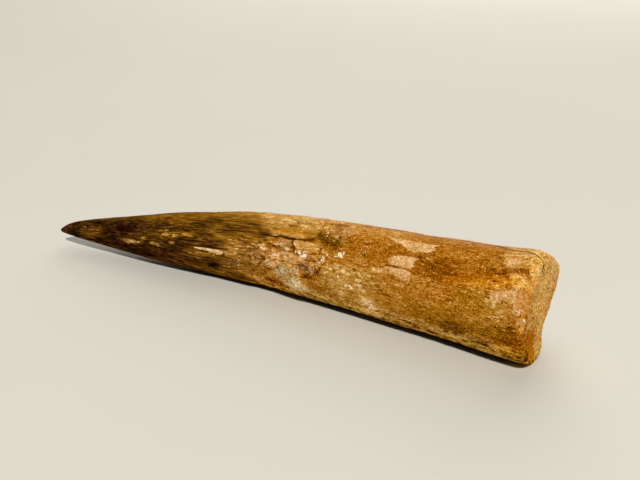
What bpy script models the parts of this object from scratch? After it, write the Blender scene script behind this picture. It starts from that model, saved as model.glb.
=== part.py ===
"""A fossil tooth of a spinosaurus, 130 mm long, lying on its side: one closed solid.

Run it with: blender --background --python part.py

The crown is the pointed end towards -X and the root is the thick, broken end towards +X. The tooth rests
on Z = 0 along a slightly worn strip under the root, its tip lifted clear. A place on its skin is given by
two numbers: how far along it lies from the tip, and how far around, in degrees from straight up, where 90
is the front (-Y), 180 the underside and 270 the back (+Y). Lengths are in millimetres until the mesh is
made, in metres.
"""

import math
from typing import NamedTuple

import bmesh
import bpy
from mathutils import Vector, noise

MM = 0.001


class Section(NamedTuple):
    """The plain oval section of the tooth at a place along it."""

    along: float
    half_height: float
    bow: float  # how far back its centre lies
    underside: float  # height of its lowest point


class Edge(NamedTuple):
    """How far along the enamel reaches at a place around."""

    around: float
    along: float


class Mark(NamedTuple):
    """A lump on the skin, or a hollow where its height is below 0."""

    along: float
    around: float
    half_length: float
    half_width: float
    height: float


class Rim(NamedTuple):
    """The rim of the broken end at a place around."""

    around: float
    stand_out: float  # along the tooth, past its length
    rounding: float


class Run(NamedTuple):
    """A stretch of the side's rows."""

    start: float
    rows: int


class Pattern(NamedTuple):
    """A smooth random pattern on the skin."""

    size: float  # of its features, across the tooth
    stretch: float  # how many times longer they are along the tooth
    seed: float


# Driving dimensions.
LENGTH = 130.0  # tip to broken end
DEPTH_SHARE = 0.93  # front to back, as a share of the height
WORN_UNDERSIDE = 0.3  # how much of the strip that it rests on is worn away

OUTLINE = (
    Section(0.0, 0.40, -2.50, 4.00),
    Section(2.6, 1.52, -2.15, 3.60),
    Section(7.8, 2.72, -1.47, 2.95),
    Section(15.6, 3.93, -0.45, 2.23),
    Section(26.0, 5.52, 0.60, 1.37),
    Section(39.0, 7.20, 2.10, 0.70),
    Section(54.6, 8.55, 3.80, 0.10),
    Section(71.5, 9.72, 4.00, 0.00),
    Section(91.0, 10.58, 3.00, 0.00),
    Section(110.5, 11.22, 1.65, 0.00),
    Section(123.5, 11.93, 0.40, 0.00),
    Section(LENGTH, 12.50, 0.00, 0.00),
)

# The enamel coat of the crown, which stops along a ragged edge.
ENAMEL_THICKNESS = 0.25
ENAMEL_EDGE = (
    Edge(0.0, 77.0),
    Edge(34.0, 80.0),
    Edge(44.0, 78.0),
    Edge(54.0, 66.0),
    Edge(90.0, 63.0),
    Edge(130.0, 61.0),
    Edge(190.0, 64.0),
    Edge(240.0, 70.0),
    Edge(300.0, 66.0),
)
ENAMEL_EDGE_WIDTH = 1.6
ENAMEL_EDGE_WANDER = 2.2
ENAMEL_EDGE_REACH = 7.0  # how far past its edge the root still lies lower than the enamel
EDGE_PATTERN = Pattern(4.0, 1.0, 31.0)

# Folds that run along the crown.
FOLDS = 20
FOLD_DEPTH = 0.22
FOLD_SHIFT = 2.5  # radians by which the pattern moves a fold sideways
FOLD_SHIFT_PATTERN = Pattern(5.0, 6.0, 7.0)
FOLD_STRENGTH = 0.6  # usual share of the depth, before the pattern makes it more or less
MOST_FOLD_STRENGTH = 1.2
FOLD_STRENGTH_PATTERN = Pattern(3.5, 7.0, 13.0)

# The crown's two keels, front and back.
KEELS_AROUND = (80.0, 262.0)
KEEL_HEIGHT = 0.25
KEEL_SPREAD = 14.0  # degrees

MARKS = (
    Mark(72.0, 63.0, 8.0, 3.2, -0.45),  # broken hollow below the last flake of enamel
    Mark(74.0, 48.0, 3.8, 1.7, 0.30),  # plate left standing in the hollow
    Mark(76.2, 84.0, 2.3, 2.0, -0.70),  # pit in the hollow
    Mark(69.0, 80.0, 3.6, 2.2, 0.30),  # plate between the hollow and the pit
    Mark(73.5, 113.0, 5.0, 2.8, 0.35),  # crust of sand under the hollow
    Mark(62.0, 42.0, 1.8, 1.5, -0.60),  # dark pit at the enamel's edge
    Mark(50.0, 82.0, 4.6, 1.1, -0.45),  # long chip in the crown's front
    Mark(51.0, 104.0, 2.6, 1.3, -0.40),  # pit under the long chip
    Mark(31.0, 92.0, 9.0, 1.1, -0.25),  # row of chips along the front keel
    Mark(57.0, 345.0, 7.5, 2.6, 0.22),  # raised flake on top of the crown
    Mark(84.0, 66.0, 3.0, 2.4, 0.25),  # lumps and dents of the root's front
    Mark(98.0, 57.0, 4.2, 3.4, 0.22),
    Mark(113.0, 84.0, 7.0, 5.0, 0.25),
    Mark(96.0, 104.0, 7.0, 4.0, -0.30),
    Mark(88.0, 210.0, 10.0, 5.0, -0.35),  # dents and lumps of its underside and back
    Mark(74.0, 285.0, 9.0, 4.5, -0.55),
    Mark(104.0, 285.0, 12.0, 6.0, 0.30),
    Mark(118.0, 240.0, 8.0, 5.0, -0.40),
    Mark(44.0, 215.0, 7.0, 2.0, -0.30),  # long chips in the crown's back
    Mark(36.0, 300.0, 8.0, 1.6, -0.25),
)
MARK_REACH = 1.15  # where a mark ends, in its half sizes
MARK_STEEPNESS = 1.6

# The root's uneven surface.
LUMP_HEIGHT = 0.24
LUMP_PATTERN = Pattern(9.0, 1.6, 3.0)
SMALL_LUMP_HEIGHT = 0.14
SMALL_LUMP_PATTERN = Pattern(3.0, 1.0, 11.0)
CROWN_LUMP_SHARE = 0.4  # the enamel has this share of the root's lumps
SMOOTH_TIP = 8.0  # the relief fades out over this length at the tip

# The broken end.
RIM = (
    Rim(0.0, 0.7, 3.8),
    Rim(40.0, 0.0, 1.8),
    Rim(90.0, -0.2, 1.6),
    Rim(140.0, 0.4, 1.0),
    Rim(170.0, 0.8, 0.8),
    Rim(195.0, 0.8, 0.7),
    Rim(215.0, -0.2, 0.7),
    Rim(245.0, 0.1, 0.7),
    Rim(280.0, 0.8, 1.0),
    Rim(305.0, 1.7, 3.2),
    Rim(330.0, 1.4, 5.2),
)
RIM_SPREAD = 20.0  # the side is stretched over this length to reach the uneven rim
END_HEIGHT = 0.8  # of the broken face's relief
END_SIZE = 6.0
FINE_END_HEIGHT = 0.4
FINE_END_SIZE = 3.0

# The mesh.
AROUND_STEPS = 72
SIDE_RUNS = (Run(0.0, 20), Run(56.0, 22), Run(86.0, 18))
RIM_ROWS = 3
END_ROWS = 6
TIP_REACH = 0.3  # how far the blunt tip stands out past its first row
FULL_TURN = 360.0


class Curve:
    """A smooth curve through points, each a place and its value."""

    def __init__(self, points):
        self.points = points
        self.slopes = [self.slope(index) for index in range(len(points))]

    def slope(self, index):
        """Slope at one of the points, from the straight lines to its neighbours."""
        first, last = max(index - 1, 0), min(index + 1, len(self.points) - 1)
        rises = []
        for at in (first, last - 1):
            (start, low), (end, high) = self.points[at : at + 2]
            rises.append((high - low) / (end - start))
        begin, here, finish = (self.points[at][0] for at in (first, index, last))
        share = (here - begin) / (finish - begin)
        return rises[0] * (1.0 - share) + rises[1] * share

    def at(self, place):
        """Value at a place."""
        index = 0
        while index < len(self.points) - 2 and place > self.points[index + 1][0]:
            index += 1
        (start, low), (end, high) = self.points[index : index + 2]
        span = end - start
        t = (place - start) / span
        return (
            low * (1.0 + 2.0 * t) * (1.0 - t) ** 2
            + self.slopes[index] * span * t * (1.0 - t) ** 2
            + high * t * t * (3.0 - 2.0 * t)
            + self.slopes[index + 1] * span * t * t * (t - 1.0)
        )


class Ring(Curve):
    """A smooth curve around the tooth, which closes on itself."""

    def __init__(self, points):
        before = [(place - FULL_TURN, value) for place, value in points[-2:]]
        after = [(place + FULL_TURN, value) for place, value in points[:2]]
        super().__init__(before + points + after)


HALF_HEIGHT = Curve([(row.along, row.half_height) for row in OUTLINE])
BOW = Curve([(row.along, row.bow) for row in OUTLINE])
UNDERSIDE = Curve([(row.along, row.underside) for row in OUTLINE])
ENAMEL_END = Ring([(row.around, row.along) for row in ENAMEL_EDGE])
STAND_OUT = Ring([(row.around, row.stand_out) for row in RIM])
ROUNDING = Ring([(row.around, row.rounding) for row in RIM])


def eased(share):
    """0 up to a share of 0, 1 from a share of 1, and smooth between."""
    share = min(max(share, 0.0), 1.0)
    return share * share * (3.0 - 2.0 * share)


def turn_between(around, other):
    """Degrees from one place around to another, the short way."""
    half_turn = FULL_TURN / 2.0
    return (around - other + half_turn) % FULL_TURN - half_turn


def all_around():
    """Every place around at which a ring has a point, in degrees."""
    return [FULL_TURN * step / AROUND_STEPS for step in range(AROUND_STEPS)]


def uneven(along, around, pattern):
    """A pattern's value at a place on the skin, from -1 to 1."""
    half_height = HALF_HEIGHT.at(along)
    turn = math.radians(around)
    place = Vector(
        (
            along / pattern.stretch,
            half_height * math.cos(turn),
            half_height * math.sin(turn),
        )
    )
    return noise.noise(place / pattern.size + Vector([pattern.seed] * 3))


def folds_depth(along, around):
    """How deep the skin lies below the tops of the crown's uneven folds."""
    shift = FOLD_SHIFT * uneven(along, around, FOLD_SHIFT_PATTERN)
    depth = 0.5 - 0.5 * math.cos(math.radians(FOLDS * around) + shift)
    strength = FOLD_STRENGTH + uneven(along, around, FOLD_STRENGTH_PATTERN)
    return FOLD_DEPTH * depth * min(max(strength, 0.0), MOST_FOLD_STRENGTH)


def keels_height(around):
    """How far the keels stand out at a place around."""
    turns = [turn_between(around, keel) / KEEL_SPREAD for keel in KEELS_AROUND]
    return KEEL_HEIGHT * sum(math.exp(-turn * turn) for turn in turns)


def marks_height(along, around):
    """Sum of the lumps and hollows at a place on the skin."""
    half_height = HALF_HEIGHT.at(along)
    total = 0.0
    for mark in MARKS:
        lengthwise = (along - mark.along) / mark.half_length
        sideways = math.radians(turn_between(around, mark.around)) * half_height
        reach = math.hypot(lengthwise, sideways / mark.half_width)
        total += mark.height * eased(MARK_STEEPNESS * (MARK_REACH - reach))
    return total


def lumps_height(along, around):
    """Height of the root's uneven surface."""
    lumps = LUMP_HEIGHT * uneven(along, around, LUMP_PATTERN)
    return lumps + SMALL_LUMP_HEIGHT * uneven(along, around, SMALL_LUMP_PATTERN)


def relief(along, around):
    """How far the skin stands out from the plain oval section."""
    edge = ENAMEL_END.at(around)
    edge += ENAMEL_EDGE_WANDER * uneven(along, around, EDGE_PATTERN)
    enamel = eased((edge - along) / ENAMEL_EDGE_WIDTH)
    crown = keels_height(around) - folds_depth(along, around)
    step_down = ENAMEL_THICKNESS * math.exp(-max(along - edge, 0.0) / ENAMEL_EDGE_REACH)
    lumps = lumps_height(along, around)
    out = enamel * (crown + CROWN_LUMP_SHARE * lumps)
    out += (1.0 - enamel) * (lumps - step_down)
    out += marks_height(along, around)
    return out * eased(along / SMOOTH_TIP)


def skin(along, around, inset=0.0):
    """Point of the skin at a place along and around, drawn in towards the centre by an inset."""
    half_height = HALF_HEIGHT.at(along)
    reach = half_height + relief(along, around) - inset
    turn = math.radians(around)
    depth = BOW.at(along) - DEPTH_SHARE * reach * math.sin(turn)
    height = UNDERSIDE.at(along) - WORN_UNDERSIDE + half_height + reach * math.cos(turn)
    return Vector((along, depth, max(height, 0.0)))


def side_places():
    """Where along the tooth its side rows lie: closest together where the enamel ends."""
    ends = [run.start for run in SIDE_RUNS[1:]] + [LENGTH]
    places = [
        run.start + (end - run.start) * row / run.rows
        for run, end in zip(SIDE_RUNS, ends)
        for row in range(run.rows)
    ]
    return places + [LENGTH]


def side_row(along):
    """Points of one ring of the side, whose last stretch reaches to the rim's rounding."""
    share = eased((along - LENGTH + RIM_SPREAD) / RIM_SPREAD)
    return [
        skin(along + share * (STAND_OUT.at(around) - ROUNDING.at(around)), around)
        for around in all_around()
    ]


def rim_row(index):
    """Points of one ring of the rounding between the side and the broken face."""
    turn = math.pi / 2.0 * index / RIM_ROWS
    row = []
    for around in all_around():
        rounding = ROUNDING.at(around)
        along = LENGTH + STAND_OUT.at(around) - rounding * (1.0 - math.sin(turn))
        point = skin(min(along, LENGTH), around, rounding * (1.0 - math.cos(turn)))
        point.x = along
        row.append(point)
    return row


def end_row(index, rim, centre):
    """Points of one ring of the rough broken face, between its rim and its centre."""
    share = 1.0 - index / (END_ROWS + 1)
    row = []
    for edge in rim:
        point = centre.lerp(edge, share)
        height = END_HEIGHT * noise.noise(point / END_SIZE)
        height += FINE_END_HEIGHT * noise.noise(point / FINE_END_SIZE)
        point.x += height
        row.append(point)
    return row


def middle_of(points):
    """Mean of some points."""
    return sum(points, Vector()) / len(points)


def bridge(mesh, first, second):
    """Faces between two rings of vertices."""
    for step in range(AROUND_STEPS):
        after = (step + 1) % AROUND_STEPS
        mesh.faces.new((first[step], first[after], second[after], second[step]))


def close(mesh, ring, point):
    """A fan of faces from a ring of vertices to one point."""
    apex = mesh.verts.new(point)
    for step in range(AROUND_STEPS):
        mesh.faces.new((apex, ring[step], ring[(step + 1) % AROUND_STEPS]))


def tooth_mesh():
    """The tooth as one closed mesh in millimetres, with the centre of its footprint at the origin."""
    rows = [side_row(along) for along in side_places()]
    rows += [rim_row(index) for index in range(1, RIM_ROWS + 1)]
    rim = rows[-1]
    centre = middle_of(rim)
    rows += [end_row(index, rim, centre) for index in range(1, END_ROWS + 1)]

    mesh = bmesh.new()
    rings = [[mesh.verts.new(point) for point in row] for row in rows]
    for first, second in zip(rings, rings[1:]):
        bridge(mesh, first, second)
    close(mesh, rings[0], middle_of(rows[0]) - Vector((TIP_REACH, 0.0, 0.0)))
    close(mesh, rings[-1], middle_of(rows[-1]))
    bmesh.ops.recalc_face_normals(mesh, faces=mesh.faces)

    sides = [[vertex.co[axis] for vertex in mesh.verts] for axis in (0, 1)]
    middle = Vector((*((min(side) + max(side)) / 2.0 for side in sides), 0.0))
    bmesh.ops.translate(mesh, verts=mesh.verts, vec=-middle)
    return mesh


def fossil_material():
    """Stained enamel and bone turned to stone."""
    material = bpy.data.materials.new("fossil_enamel_and_root")
    material.use_nodes = True
    surface = material.node_tree.nodes["Principled BSDF"]
    surface.inputs["Base Color"].default_value = (0.36, 0.19, 0.06, 1.0)
    surface.inputs["Roughness"].default_value = 0.6
    surface.inputs["Metallic"].default_value = 0.0
    return material


def clear_scene():
    """Removes every object that the scene starts with."""
    for thing in list(bpy.data.objects):
        bpy.data.objects.remove(thing)


def build():
    """Makes the tooth, in metres."""
    clear_scene()
    form = tooth_mesh()
    bmesh.ops.scale(form, verts=form.verts, vec=(MM, MM, MM))
    data = bpy.data.meshes.new("tooth")
    form.to_mesh(data)
    form.free()
    data.materials.append(fossil_material())
    data.shade_smooth()
    data.set_sharp_from_angle(angle=math.radians(45.0))
    tooth = bpy.data.objects.new("tooth", data)
    bpy.context.scene.collection.objects.link(tooth)


build()
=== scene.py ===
"""Dresses the fossil spinosaurus tooth: enamel, stained root, sandy break, and what is stuck on it.

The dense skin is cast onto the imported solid, so it keeps the solid's form. It takes the fine
relief: flakes of the enamel, cracks and plates where it has come away, the root's grain and the
sandy break. A place on the skin is given by how far along it lies from the tip, in millimetres, and
how far around, in degrees from straight up, where 90 is the front (-Y) and 270 the back (+Y).
"""

import logging
import math
from dataclasses import dataclass, field
from enum import Enum
from functools import cached_property

import bmesh
import bpy
import numpy as np
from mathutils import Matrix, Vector
from mathutils.bvhtree import BVHTree


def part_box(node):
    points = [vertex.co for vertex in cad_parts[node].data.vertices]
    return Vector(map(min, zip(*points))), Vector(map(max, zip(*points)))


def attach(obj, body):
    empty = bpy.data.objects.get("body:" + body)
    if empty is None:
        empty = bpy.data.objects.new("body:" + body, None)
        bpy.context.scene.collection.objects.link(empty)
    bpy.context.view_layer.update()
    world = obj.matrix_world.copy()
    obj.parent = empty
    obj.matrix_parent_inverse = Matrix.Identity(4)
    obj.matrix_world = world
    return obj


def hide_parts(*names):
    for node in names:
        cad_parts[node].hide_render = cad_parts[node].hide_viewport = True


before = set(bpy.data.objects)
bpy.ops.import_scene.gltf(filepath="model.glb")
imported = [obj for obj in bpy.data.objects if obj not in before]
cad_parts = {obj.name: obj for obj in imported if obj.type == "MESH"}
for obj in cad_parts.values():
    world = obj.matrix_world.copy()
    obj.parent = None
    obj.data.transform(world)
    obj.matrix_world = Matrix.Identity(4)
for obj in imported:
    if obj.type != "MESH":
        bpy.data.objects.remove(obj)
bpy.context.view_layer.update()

LOG = logging.getLogger("tooth")
MM = 0.001
TINY = 1e-9
NODE, BODY, SLOT = "tooth", "root", "fossil"
FULL_TURN = 360.0
Colour = tuple[float, float, float, float]
Stops = tuple[tuple[float, Colour], ...]
Pair = tuple[float, float]
Outline = tuple[Pair, ...]
Socket = bpy.types.NodeSocket
Array = np.ndarray


def linear(*levels: int) -> Colour:
    """Turns a colour as a screen shows it into the renderer's linear light.

    Args:
        levels: Red, green and blue, 0 to 255.

    Returns:
        Red, green, blue and an alpha of 1, in linear light.
    """
    shares = [level / 255.0 for level in levels]
    lit = [one / 12.92 if one <= 0.04045 else ((one + 0.055) / 1.055) ** 2.4 for one in shares]
    return (*lit, 1.0)


def stops(*marks: tuple[float, int, int, int]) -> Stops:
    """Stops of a colour ramp, each a place from 0 to 1 with a screen's red, green and blue."""
    return tuple((place, linear(*colour)) for place, *colour in marks)


def eased(share: Array) -> Array:
    """0 up to a share of 0, 1 from a share of 1, and smooth between."""
    held = np.clip(share, 0.0, 1.0)
    return held * held * (3.0 - 2.0 * held)


def turn_between(around: Array, other: float) -> Array:
    """Degrees from one place around to another, the short way."""
    return (around - other + FULL_TURN / 2.0) % FULL_TURN - FULL_TURN / 2.0


def bell(reach: int, spread: float) -> Array:
    """Weights of a bell curve from -reach to reach steps, which add up to 1."""
    weights = np.exp(-0.5 * (np.arange(-reach, reach + 1) / max(spread, 1e-6)) ** 2)
    return weights / weights.sum()


def gap_to(x: Array, y: Array, run: float, rise: float | Array) -> Array:
    """Distance from a straight piece.

    Args:
        x: Each place's x, from the start of the piece.
        y: Each place's y, from the start of the piece.
        run: How far the piece goes in x.
        rise: How far it goes in y.

    Returns:
        The distance of each place.
    """
    share = np.clip((x * run + y * rise) / (run**2 + rise**2 + TINY), 0.0, 1.0)
    return np.hypot(x - share * run, y - share * rise)


def blurred(values: Array, rows: float, columns: float) -> Array:
    """Smooths values on the skin's grid. Columns close on themselves, rows run on over the poles.

    Args:
        values: Values, rows by columns, or rows by columns by 3.
        rows: Spread across rows, in rows.
        columns: Spread across columns, in columns.

    Returns:
        The smoothed values.
    """
    size, count = values.shape[:2]
    reach = max(1, math.ceil(rows * 3))
    opposite = np.roll(values, count // 2, axis=1)
    padded = np.concatenate([opposite[:reach][::-1], values, opposite[-reach:][::-1]])
    smooth = sum(w * padded[i : i + size] for i, w in enumerate(bell(reach, rows)))
    reach = max(1, math.ceil(columns * 3))
    steps = range(-reach, reach + 1)
    return sum(w * np.roll(smooth, step, axis=1) for step, w in zip(steps, bell(reach, columns)))


def shown(name: str, data: bpy.types.ID) -> bpy.types.Object:
    """Puts a mesh, light or camera into the scene.

    Args:
        name: The new object's name.
        data: What it holds.

    Returns:
        The object.
    """
    holder = bpy.data.objects.new(name, data)
    bpy.context.scene.collection.objects.link(holder)
    return holder


@dataclass(eq=False)
class Grain:
    """Smooth random noise in space, always the same for the same seed."""

    seed: int
    size: float | tuple[float, float, float]  # of its features, in millimetres
    octaves: int = 1  # how many layers, each twice as fine as the one before
    fade: float = 0.5  # strength of each layer as a share of the one before

    CELLS = 256
    GAIN = 1.5  # brings the noise to about -1 to 1
    SHIFT = 17.3  # between layers of noise
    JITTER = (0.12, 0.88)  # how far in its cell a scattered point may lie

    def __post_init__(self) -> None:
        """Draws the lattice."""
        draw = np.random.default_rng(self.seed)
        self.order = np.tile(draw.permutation(self.CELLS), 2)
        slopes = draw.normal(size=(self.CELLS, 3))
        self.slopes = slopes / np.linalg.norm(slopes, axis=1, keepdims=True)
        self.jitter = draw.uniform(*self.JITTER, size=(self.CELLS, 3))
        self.tones = draw.uniform(0.0, 1.0, size=self.CELLS)

    def _corner(self, cell: Array) -> Array:
        """Index of the lattice entry of each cell."""
        x, y, z = (cell[..., axis] % self.CELLS for axis in range(3))
        return self.order[self.order[self.order[x] + y] + z]

    def _smooth(self, place: Array) -> Array:
        """One layer of noise.

        Args:
            place: Points, in units of its feature size.

        Returns:
            Values from about -1 to 1.
        """
        low = np.floor(place).astype(int)
        within = place - low
        blend = within**3 * (within * (within * 6.0 - 15.0) + 10.0)
        total = np.zeros(place.shape[:-1])
        for corner in np.ndindex(2, 2, 2):
            offset = np.array(corner)
            slope = self.slopes[self._corner(low + offset)]
            share = np.prod(np.where(offset == 1, blend, 1.0 - blend), axis=-1)
            total += share * np.sum(slope * (within - offset), axis=-1)
        return total * self.GAIN

    def over(self, place: Array) -> Array:
        """Noise at some places.

        Args:
            place: Points, in millimetres.

        Returns:
            Values from about -1 to 1.
        """
        place = place / np.array(self.size)
        total, strength, most = np.zeros(place.shape[:-1]), 1.0, 0.0
        for octave in range(self.octaves):
            total += strength * self._smooth(place * 2.0**octave + self.SHIFT * octave)
            most += strength
            strength *= self.fade
        return total / most

    def cells(self, place: Array) -> tuple[Array, Array]:
        """Distance to the nearest of some scattered points, one in each cell of the lattice.

        Args:
            place: Points, in millimetres.

        Returns:
            The distance in units of the size, and a number from 0 to 1 of the nearest point's own.
        """
        place = place / np.array(self.size)
        low = np.floor(place).astype(int)
        nearest = np.full(place.shape[:-1], 9.0)
        tone = np.zeros(place.shape[:-1])
        for corner in np.ndindex(3, 3, 3):
            cell = low + np.array(corner) - 1
            entry = self._corner(cell)
            gap = np.linalg.norm(cell + self.jitter[entry] - place, axis=-1)
            closer = gap < nearest
            nearest = np.where(closer, gap, nearest)
            tone = np.where(closer, self.tones[entry], tone)
        return nearest, tone


@dataclass(frozen=True)
class Spot:
    """An oval mark on the skin, and how strong it is in its middle."""

    along: float
    around: float
    half_length: float
    half_width: float
    amount: float = 1.0
    turn: float = 0.0  # degrees by which its length leans towards greater around

    OUTER = 1.45  # where the mark ends, as a share of its edge
    STEEPNESS = 1.15

    def reach(self, skin: "Skin") -> Array:
        """Distance from the middle.

        Args:
            skin: The skin's grid.

        Returns:
            The distance of every place, where 1 is the mark's edge.
        """
        loose = min(1.0, self.half_width / 2.0)
        lengthwise = skin.along - self.along + loose * skin.drift[0]
        sideways = np.radians(turn_between(skin.around, self.around)) * skin.half_height
        sideways = sideways + loose * skin.drift[1]
        lean = math.radians(self.turn)
        across = sideways * math.cos(lean) - lengthwise * math.sin(lean)
        lengthwise = lengthwise * math.cos(lean) + sideways * math.sin(lean)
        return np.hypot(lengthwise / self.half_length, across / self.half_width)

    def cover(self, skin: "Skin") -> Array:
        """How far each place belongs to the mark, from 0 to 1."""
        return eased(self.STEEPNESS * (self.OUTER - self.reach(skin)))


@dataclass(frozen=True)
class Line:
    """A crack on the skin, through places along and around."""

    places: Outline
    half_width: float
    depth: float

    def away(self, skin: "Skin") -> Array:
        """Distance from the line.

        Args:
            skin: The skin's grid.

        Returns:
            The distance of every place, in millimetres.
        """
        nearest = np.full(skin.along.shape, 99.0)
        for (start, low), (end, high) in zip(self.places, self.places[1:]):
            sideways = np.radians(turn_between(skin.around, low)) * skin.half_height
            rise = np.radians(high - low) * skin.half_height
            nearest = np.minimum(nearest, gap_to(skin.along - start, sideways, end - start, rise))
        return nearest


@dataclass(frozen=True)
class Region:
    """A patch of the skin inside a closed outline of places along and around."""

    outline: Outline
    amount: float = 1.0
    fade: float = 0.5  # width of its soft edge, in millimetres

    LOOSE_FADE = 2.5  # an edge this soft strays as far as the skin's drift says

    def inside(self, skin: "Skin") -> Array:
        """How far inside the outline each place lies.

        Args:
            skin: The skin's grid.

        Returns:
            The distance from the outline, in millimetres. Below 0 is outside.
        """
        middle = sum(place for place, _ in self.outline) / len(self.outline)
        turn = sum(around for _, around in self.outline) / len(self.outline)
        half = skin.half_at(middle)
        loose = min(1.0, self.fade / self.LOOSE_FADE)
        here_x = skin.along + loose * skin.drift[0]
        here_y = np.radians(turn_between(skin.around, turn)) * half + loose * skin.drift[1]
        corners = [(place, math.radians(around - turn) * half) for place, around in self.outline]
        nearest = np.full(skin.along.shape, 99.0)
        crossings = np.zeros(skin.along.shape, bool)
        for (x, y), (next_x, next_y) in zip(corners, corners[1:] + corners[:1]):
            run, rise = next_x - x, next_y - y
            nearest = np.minimum(nearest, gap_to(here_x - x, here_y - y, run, rise))
            beside = (y > here_y) != (next_y > here_y)
            crossings ^= beside & (here_x < x + run * (here_y - y) / (rise or TINY))
        return np.where(crossings, nearest, -nearest)

    def cover(self, skin: "Skin") -> Array:
        """How far each place belongs to the patch, from 0 to 1."""
        return eased(0.5 + self.inside(skin) / self.fade)


def marks(*rows: tuple[float | Pair, ...]) -> tuple[Spot | Region, ...]:
    """Makes marks from rows of their sizes.

    Args:
        rows: A spot's sizes in the order of its fields, or a region's amount, fade and places, of
            which the first two may be left out.

    Returns:
        The marks.
    """
    made = []
    for row in rows:
        sizes = [size for size in row if not isinstance(size, tuple)]
        outline = row[len(sizes) :]
        made.append(Region(outline, *sizes) if outline else Spot(*sizes))
    return tuple(made)


def cracks(*rows: tuple[float | Pair, ...]) -> tuple[Line, ...]:
    """Makes cracks from rows of half width, depth and places."""
    return tuple(Line(row[2:], *row[:2]) for row in rows)


def strongest(skin: "Skin", marks: tuple[Spot | Region, ...]) -> Array:
    """Strongest of some soft-edged marks at each place of the skin."""
    return np.maximum.reduce([mark.amount * mark.cover(skin) for mark in marks])


def inside_any(skin: "Skin", regions: tuple[Region, ...]) -> Array:
    """How far inside any of some regions each place lies, in millimetres. Below 0 is outside."""
    return np.maximum.reduce([region.inside(skin) for region in regions])


class Layer(Enum):
    """What the skin's material reads at every place of the skin."""

    PLACE = "place"  # along, and across the oval section, in millimetres
    ENAMEL = "enamel"  # above 0 on the enamel
    LIGHT = "light"  # how light the stain is, with painted highlight along the top edge and painted shade beneath
    OLIVE = "olive"
    PINK = "pink"
    MAROON = "maroon"
    GLINT = "glint"  # where flecks of gold and cream show, partly painted glints
    PALE = "pale"  # above 0 on bare pale patches
    CREAM = "cream"  # above 0 on chips of cream
    SAND = "sand"  # above 0 on crusts of grey sand
    BREAK = "break"  # above 0 on the sandy break
    CRACK = "crack"  # above 0 in cracks
    HOLLOW = "hollow"  # above 0 in hollows, below 0 on ridges; painted shade darkens hollows, painted light lifts ridges
    GLOSS = "gloss"  # how far the skin is worn smooth
    STAIN = "stain"  # where skin and break are stained orange and yellow
    UNDERSIDE = "underside"  # how far the skin turns down to the floor, where painted shade darkens it


# Along of the enamel's edge, at places around.
ENAMEL_EDGE = {
    0: 78, 20: 78.5, 34: 79, 38: 78, 42.4: 74, 45: 67, 54: 66, 70: 62.5, 90: 60.5, 110: 61, 130: 61,
    190: 64, 240: 70, 300: 66, FULL_TURN: 78,
}

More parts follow.
